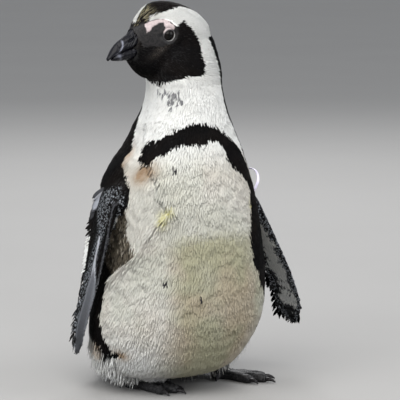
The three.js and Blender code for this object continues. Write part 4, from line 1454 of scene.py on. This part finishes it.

# Loose feathers over the right shoulder, in the body's own layout: root, tip, width, and how black, grey and
# soiled they are; the pale grey ones are a painted highlight on the shoulder, and their soiled share only
# tints that highlight brownish.
SCAPULAR_FACE = np.array((-0.62, -0.76, 0.2))
SCAPULARS = (
    ((-82, 12, 234), (-94, 25, 220), 5.5, 4, 0.25, 0), ((-84, 8, 232), (-96, 20, 217), 2.4, -4, 0.9, 1),
    ((-84, 10, 230), (-95.5, 21, 207), 8.0, 4, 0.1, 0), ((-86, 5, 228), (-98.5, 15, 206), 9.0, -4, 1.15, 1),
    ((-86, 12, 220), (-97, 25, 200), 6.5, 4, 0.25, 0), ((-87, 12, 214), (-98, 26, 194), 6.0, 4, 0.15, 0),
)

# The tail's wedge in the body's own layout: how far behind, and its middle height, half width and half
# thickness there; then two rows of quills, each with how many, where they start and how high over the middle.
TAIL_HEIGHT = ((58, 88, 110, 126, 136, 147), (84, 56, 34, 18, 8, 3.2))
TAIL_HALF = ((58, 88, 110, 126, 136, 150), (36, 31, 25, 20, 17, 14))
TAIL_THICK = ((58, 88, 110, 126, 136, 150), (23, 15, 8, 4, 1.5, 1))
QUILL_ROWS = ((15, 96, 2.2), (14, 84, 4.4))

RUMP_PLUMES, SKIRT_PLUMES = 1500, 34  # tries round both haunches, and round each leg
LEG_PLACES = ((64, 12), (-50, 4))  # where the legs stand in the body's own layout


def flipper_line(side, stops):
    """The points at these stops, each a share of the span and millimetres behind the axis and over it, and
    the outward way at the first."""
    share, behind, over = stops.T
    near = 0.04
    span = unit(flipper_axis(side, share + near) - flipper_axis(side, np.maximum(share - near, 0)))
    back, out = flipper_ways(side, share, span)
    return flipper_axis(side, share) + back * behind[:, None] + out * over[:, None], out[0]


def feather_widths(width, blunt=0.55):
    """A long feather's width from its root to near its tip, where this share of it is left."""
    t = np.linspace(0, 1, LONG_ROWS)[:-1]
    return width * np.interp(t, (0, 0.3, 0.6, 1), (0.5, 0.95, 1.0, blunt))


def flipper_feathers(side, rng):
    """Ragged feathers along a flipper's hind edge and tip, and over the right shoulder pale ones that are a
    painted highlight.
    """
    made, black, grey, soiled = [], [], [], []
    t = np.linspace(0, 1, LONG_ROWS)

    def keep(points, width, way, is_black, is_grey, tint_of_highlight=0.0):
        made.append((points, feather_widths(width), 0.35, way))
        black.append(is_black)
        grey.append(is_grey)
        soiled.append(tint_of_highlight)

    def add(share, behind, over, along, out, width, is_black, is_grey=0.0):
        stops = np.stack([share + t * along / SPAN, behind + t * out, over * (1 - t)], 1)
        points, way = flipper_line(side, stops)
        points[:, 2] = np.maximum(points[:, 2], 1.5)
        keep(points, width, way, is_black, is_grey)

    for start, end, count, inside, along, out, width, dark in FRINGES[side]:
        for share in np.linspace(start, end, count) + rng.uniform(-0.006, 0.006, count):
            edge = np.interp(share, FLIPPER_SHARE, FLIPPER_TRAIL)
            grow = rng.uniform(0.75, 1.3)
            reach = (inside - 2 + out) * grow
            add(share, edge - inside, 0.1 * inside, along * grow, reach, width * rng.uniform(0.8, 1.2), dark)
    for k in range(TIP_FEATHERS):
        behind = -13 + 34 * k / (TIP_FEATHERS - 1) + rng.uniform(-1, 1)
        longer = 5 if side == "right" and behind > 12 else 0
        along = rng.uniform(9, 19) + longer - 0.012 * (behind - 4) ** 2
        add(0.925, behind * 0.95, 1.2, along, 0.1 * behind, rng.uniform(2.2, 3.2), 4, 0.22 * (behind < 8))
    if side == "right":
        for root, tip, width, dark, pale, highlight_tint in SCAPULARS:
            start, end = np.array(root, float) + SHIFT, np.array(tip, float) + SHIFT
            points = start + (end - start) * t[:, None] + SCAPULAR_FACE * np.sin(t * math.pi)[:, None] * 2
            keep(points, width, SCAPULAR_FACE, dark, pale, highlight_tint)
    # The shoulder's soiled and brown shares only tint its painted highlight.
    return made, {"black": black, "grey": grey, "soiled": soiled, "brown": [0.35 * v for v in soiled]}


def tail_feathers(rng):
    """Stiff quills fanned over the tail's wedge."""
    made = []
    t = np.linspace(0, 1, LONG_ROWS)
    upward = unit(np.array((0, 0.66, 0.75)))
    for row, (count, start, over) in enumerate(QUILL_ROWS):
        for k in range(count):
            u = 2 * k / (count - 1) - 1
            end = 147 - 8 * u * u - 9 * row + rng.uniform(-2, 2)
            y = start + t * (end - start)
            z, half, thick = (np.interp(y, *run) for run in (TAIL_HEIGHT, TAIL_HALF, TAIL_THICK))
            lift = over + thick * math.sqrt(max(1 - 0.9 * u * u, 0.05))
            points = np.stack([-8 - 8 * t + u * half, y, z], 1) + upward * lift[:, None] + SHIFT
            points[:, 2] = np.maximum(points[:, 2], 1.5 + 0.5 * row)
            made.append((points, feather_widths(6.4 - row, 0.6), 0.5, upward))
    return made, {"black": [4.0] * len(made)}


def rump_plumes(rng):
    """Long loose feathers that hang from the haunches, and the skirts of the legs."""
    tree, _ = surface_tree(("trunk", "leg_left", "leg_right"))
    made = []
    t = np.linspace(0, 1, LONG_ROWS)
    for k in range(RUMP_PLUMES):
        side = 1 if k % 2 == 0 else -1
        degrees, height = side * rng.uniform(72, 152), rng.uniform(8, 58)
        angle = math.radians(degrees)
        out = np.array((math.sin(angle), -math.cos(angle), 0.0))
        start = np.array((*BODY_MIDDLE, height)) + out * 260
        hit = tree.ray_cast(Vector(start * MM), Vector(-out))[0]
        if hit is None:
            continue
        root = np.array(hit) / MM - out * 1.6
        reach = min(rng.uniform(8, 16), root[2] - 1.5)
        sway = np.cross(out, (0, 0, 1)) * rng.uniform(-4, 2) * side
        stand = t * rng.uniform(-1, 3) + 0.9 * np.sin(t * 2)
        points = root + out * stand[:, None] + sway * (t * t)[:, None]
        points[:, 2] -= t * reach
        points[:, 2] = np.maximum(points[:, 2], 1.2 + 1.5 * (1 - t))
        made.append((points, feather_widths(rng.uniform(0.8, 1.5), 0.2), 0.2, out))
    for x, y in LEG_PLACES:
        for k in range(SKIRT_PLUMES):
            angle = 2 * math.pi * k / SKIRT_PLUMES
            out = np.array((math.cos(angle), math.sin(angle), 0.0))
            foot = np.array((x, y, 12.5)) + SHIFT + out * rng.uniform(12, 17)
            hit = tree.ray_cast(Vector(foot * MM), Vector((0, 0, 1)), 0.05)[0]
            if hit is None:
                continue
            root = np.array(hit) / MM + (0, 0, 1.0)
            points = root + out * (t * rng.uniform(1, 4))[:, None]
            points[:, 2] -= t * rng.uniform(7, 13)
            points[:, 2] = np.maximum(points[:, 2], 6.5)
            made.append((points, feather_widths(rng.uniform(1.6, 2.4), 0.4), 0.3, out))
    return made, {}


def long_piece(name, feathers, given, material, seed):
    """One piece of long feathers, with the markings given for each. Returns how many they are."""
    corners, faces, ways = [], [], []
    for points, widths, thick, way in feathers:
        more, sides = blade(points, widths, thick, way)
        faces += [tuple(i + len(corners) for i in side) for side in sides]
        corners += more
        ways.append(way)
    mesh = make_mesh(name, corners, faces, weld=False)
    per_vane = 4 * (LONG_ROWS - 1) + 1
    mark_vanes(mesh, name, per_vane, seed, {key: np.array(values, float) for key, values in given.items()})
    attribute(mesh, "plush", np.repeat(unit(np.array(ways)), per_vane, 0))
    finish_piece(add_object(name, mesh), material, "white_feather" if "rump" in name else "black_feather")
    return len(feathers)


# ---- the add-on: its settings, its steps and its panel ----
def size_setting(name, description, default, **kind):
    return FloatProperty(name=name, description=description, default=default, **kind)


def colour_setting(name, description, default):
    return FloatVectorProperty(name=name, description=description, subtype="COLOR", default=default)


class PenguinLook(bpy.types.PropertyGroup):
    """Sizes and colours of the penguin and its stage."""

    skin_voxel: size_setting("Skin mesh", "Face size of the skin, in millimetres", 2.85)
    coat_spacing: size_setting("Coat spacing", "Multiplies the space between feathers", 1.0, subtype="FACTOR")
    coat_seed: IntProperty(name="Coat seed", description="Starts the feathers' random draws", default=7)
    white: colour_setting("White", "White plumage", (0.86, 0.86, 0.83))
    # The cream and tan colours carry the lower belly's painted shade as well as its stain.
    cream: colour_setting("Cream", "Belly's stain", (0.43, 0.41, 0.275))
    tan: colour_setting("Tan", "Belly's warmer stain", (0.49, 0.41, 0.29))
    black: colour_setting("Black", "Black plumage", (0.0036, 0.0034, 0.0036))
    soiled: colour_setting("Soiled", "Wet, soiled breast", (0.69, 0.67, 0.60))
    stain_brown: colour_setting("Brown stain", "Brown stains by the band", (0.37, 0.25, 0.155))
    stain_yellow: colour_setting("Yellow stain", "Yellow stain at the parting", (0.60, 0.55, 0.16))
    flipper_grey: colour_setting("Flipper grey", "Grey strips of the flippers", (0.25, 0.26, 0.29))
    pink: colour_setting("Pink skin", "Bare skin over the eye", (0.50, 0.42, 0.42))
    band: colour_setting("Band", "Flipper band", (0.72, 0.68, 0.84))
    floor: colour_setting("Floor", "Floor paint", (0.28, 0.275, 0.27))
    lens: size_setting("Lens", "Focal length in millimetres", 234.8, unit="CAMERA")
    key_power: size_setting("Key light", "Power of the main light in watts", 102.0, unit="POWER")
    sky_power: size_setting("Sky light", "Strength of the surroundings' light", 0.66)


class PENGUIN_OT_skin(bpy.types.Operator):
    """Grow the one skin that stands for all the flesh"""

    bl_idname = "penguin.skin"
    bl_label = "Skin"

    def execute(self, context):
        grow_skin()
        return {"FINISHED"}


class PENGUIN_OT_coat(bpy.types.Operator):
    """Set the feathers over the skin"""

    bl_idname = "penguin.coat"
    bl_label = "Coat"

    def execute(self, context):
        skin = bpy.data.objects["skin"]
        material = plumage_material("plumage_vanes", on_vanes=True)
        tree = coat_tree()
        for seed, name in enumerate(COATS, context.scene.penguin.coat_seed):
            print(name, coat_piece(name, skin, tree, material, seed), "feathers")
        return {"FINISHED"}


class PENGUIN_OT_long_feathers(bpy.types.Operator):
    """Set the flippers' ragged edges, the tail's quills and the rump's plumes"""

    bl_idname = "penguin.long_feathers"
    bl_label = "Long feathers"

    def execute(self, context):
        material = bpy.data.materials["plumage_vanes"]
        sets = {
            "feathers_flipper_left": lambda rng: flipper_feathers("left", rng),
            "feathers_flipper_right": lambda rng: flipper_feathers("right", rng),
            "feathers_tail": tail_feathers,
            "feathers_rump": rump_plumes,
        }
        for seed, (name, grow) in enumerate(sets.items(), context.scene.penguin.coat_seed + 100):
            feathers, given = grow(np.random.default_rng(seed))
            print(name, long_piece(name, feathers, given, material, seed), "feathers")
        return {"FINISHED"}


class PENGUIN_OT_bill(bpy.types.Operator):
    """Carve both halves of the bill"""

    bl_idname = "penguin.bill"
    bl_label = "Bill"

    def execute(self, context):
        material = horn_material("bill_horn", (0.0035, 0.0035, 0.0055), (0.26, 0.27, 0.33))
        halves = (("bill_upper", "bill_hook", carve_upper), ("bill_lower", "bill_jaw", carve_lower))
        for node, name, carve in halves:
            finish_piece(sculpted_bill(node, name, carve), material, "horn", (node,))
        return {"FINISHED"}


class PENGUIN_OT_eyes(bpy.types.Operator):
    """Set the eyes and their lids"""

    bl_idname = "penguin.eyes"
    bl_label = "Eyes"

    def execute(self, context):
        glossy, fleshy = eye_material(), lid_material()
        for side in ("left", "right"):
            finish_piece(eye_piece(side), glossy, "eye", ("eye_" + side,))
            finish_piece(lid_piece(side), fleshy, "bare_skin")
        return {"FINISHED"}


class PENGUIN_OT_claws(bpy.types.Operator):
    """Make the eight claws"""

    bl_idname = "penguin.claws"
    bl_label = "Claws"

    def execute(self, context):
        material = horn_material("claw_horn", (0.014, 0.013, 0.014))
        for side in ("left", "right"):
            for toe in ("inner", "middle", "outer", "hind"):
                node = f"claw_{side}_{toe}"
                finish_piece(claw_piece(node), material, "claw", (node,))
        return {"FINISHED"}


class PENGUIN_OT_band(bpy.types.Operator):
    """Close the band round the left flipper"""

    bl_idname = "penguin.band"
    bl_label = "Flipper band"

    def execute(self, context):
        finish_piece(band_piece(), band_material(), "band", ("flipper_band",))
        return {"FINISHED"}


CAMERA_AIM, CAMERA_REACH = (1.9, -25.4, 215.3), 3000.0
CAMERA_WAY = (-0.4185, -0.8975, 0.1392)
FLOOR_RADIUS = 26  # metres
SKY_COLOUR = (0.93, 0.96, 1.0, 1)
LIGHTS = (  # place and size in metres, share of the main light's power, and colour
    ("key", (-1.0, -1.4, 2.35), 2.8, 1.0, (1, 0.985, 0.955)),
    ("fill", (2.1, -1.7, 1.5), 1.8, 0.36, (0.97, 0.985, 1)),
    ("side", (-2.4, -0.7, 1.2), 1.6, 0.26, (0.97, 0.99, 1)),
    ("rim", (0.9, 1.9, 1.7), 1.2, 0.3, (1, 1, 1)),
)


class PENGUIN_OT_stage(bpy.types.Operator):
    """Lay the floor and set the lights and the camera"""

    bl_idname = "penguin.stage"
    bl_label = "Stage"

    def execute(self, context):
        look = context.scene.penguin
        build = bmesh.new()
        bmesh.ops.create_circle(build, cap_ends=True, radius=FLOOR_RADIUS, segments=96)
        mesh = bpy.data.meshes.new("floor")
        build.to_mesh(mesh)
        build.free()
        mesh.materials.append(floor_material())
        add_object("floor", mesh)
        world = bpy.data.worlds.new("studio")
        world.use_nodes = True
        sky = world.node_tree.nodes["Background"].inputs
        sky["Color"].default_value = SKY_COLOUR
        sky["Strength"].default_value = look.sky_power
        context.scene.world = world
        aim = Vector(CAMERA_AIM) * MM
        for name, place, size, share, shade in LIGHTS:
            data = bpy.data.lights.new(name, "AREA")
            data.energy, data.size, data.color = look.key_power * share, size, shade
            lamp = add_object(name, data)
            lamp.location = place
            lamp.rotation_euler = (aim - lamp.location).to_track_quat("-Z", "Y").to_euler()
        camera = add_object("camera", bpy.data.cameras.new("camera"))
        camera.data.lens, camera.data.sensor_width = look.lens, 36
        camera.data.clip_end = 80
        way = Vector(CAMERA_WAY).normalized()
        camera.location = aim + way * CAMERA_REACH * MM
        camera.rotation_euler = way.to_track_quat("Z", "Y").to_euler()
        context.scene.camera = camera
        context.scene.view_settings.view_transform = "Standard"
        return {"FINISHED"}


class PENGUIN_PT_panel(bpy.types.Panel):
    """The steps that build the penguin"""

    bl_idname = "PENGUIN_PT_panel"
    bl_label = "African penguin"
    bl_space_type = "VIEW_3D"
    bl_region_type = "UI"
    bl_category = "Penguin"

    def draw(self, context):
        for step in STEPS:
            self.layout.operator(step.bl_idname)


STEPS = (
    PENGUIN_OT_stage, PENGUIN_OT_skin, PENGUIN_OT_coat, PENGUIN_OT_long_feathers, PENGUIN_OT_bill,
    PENGUIN_OT_eyes, PENGUIN_OT_claws, PENGUIN_OT_band,
)
CLASSES = (PenguinLook, *STEPS, PENGUIN_PT_panel)


def register():
    for cls in CLASSES:
        bpy.utils.register_class(cls)
    bpy.types.Scene.penguin = PointerProperty(type=PenguinLook)


def unregister():
    del bpy.types.Scene.penguin
    for cls in reversed(CLASSES):
        bpy.utils.unregister_class(cls)


def main():
    register()
    bpy.ops.penguin.stage()
    bpy.ops.penguin.skin()
    bpy.ops.penguin.coat()
    bpy.ops.penguin.long_feathers()
    bpy.ops.penguin.bill()
    bpy.ops.penguin.eyes()
    bpy.ops.penguin.claws()
    bpy.ops.penguin.band()


if __name__ == "__main__":
    main()
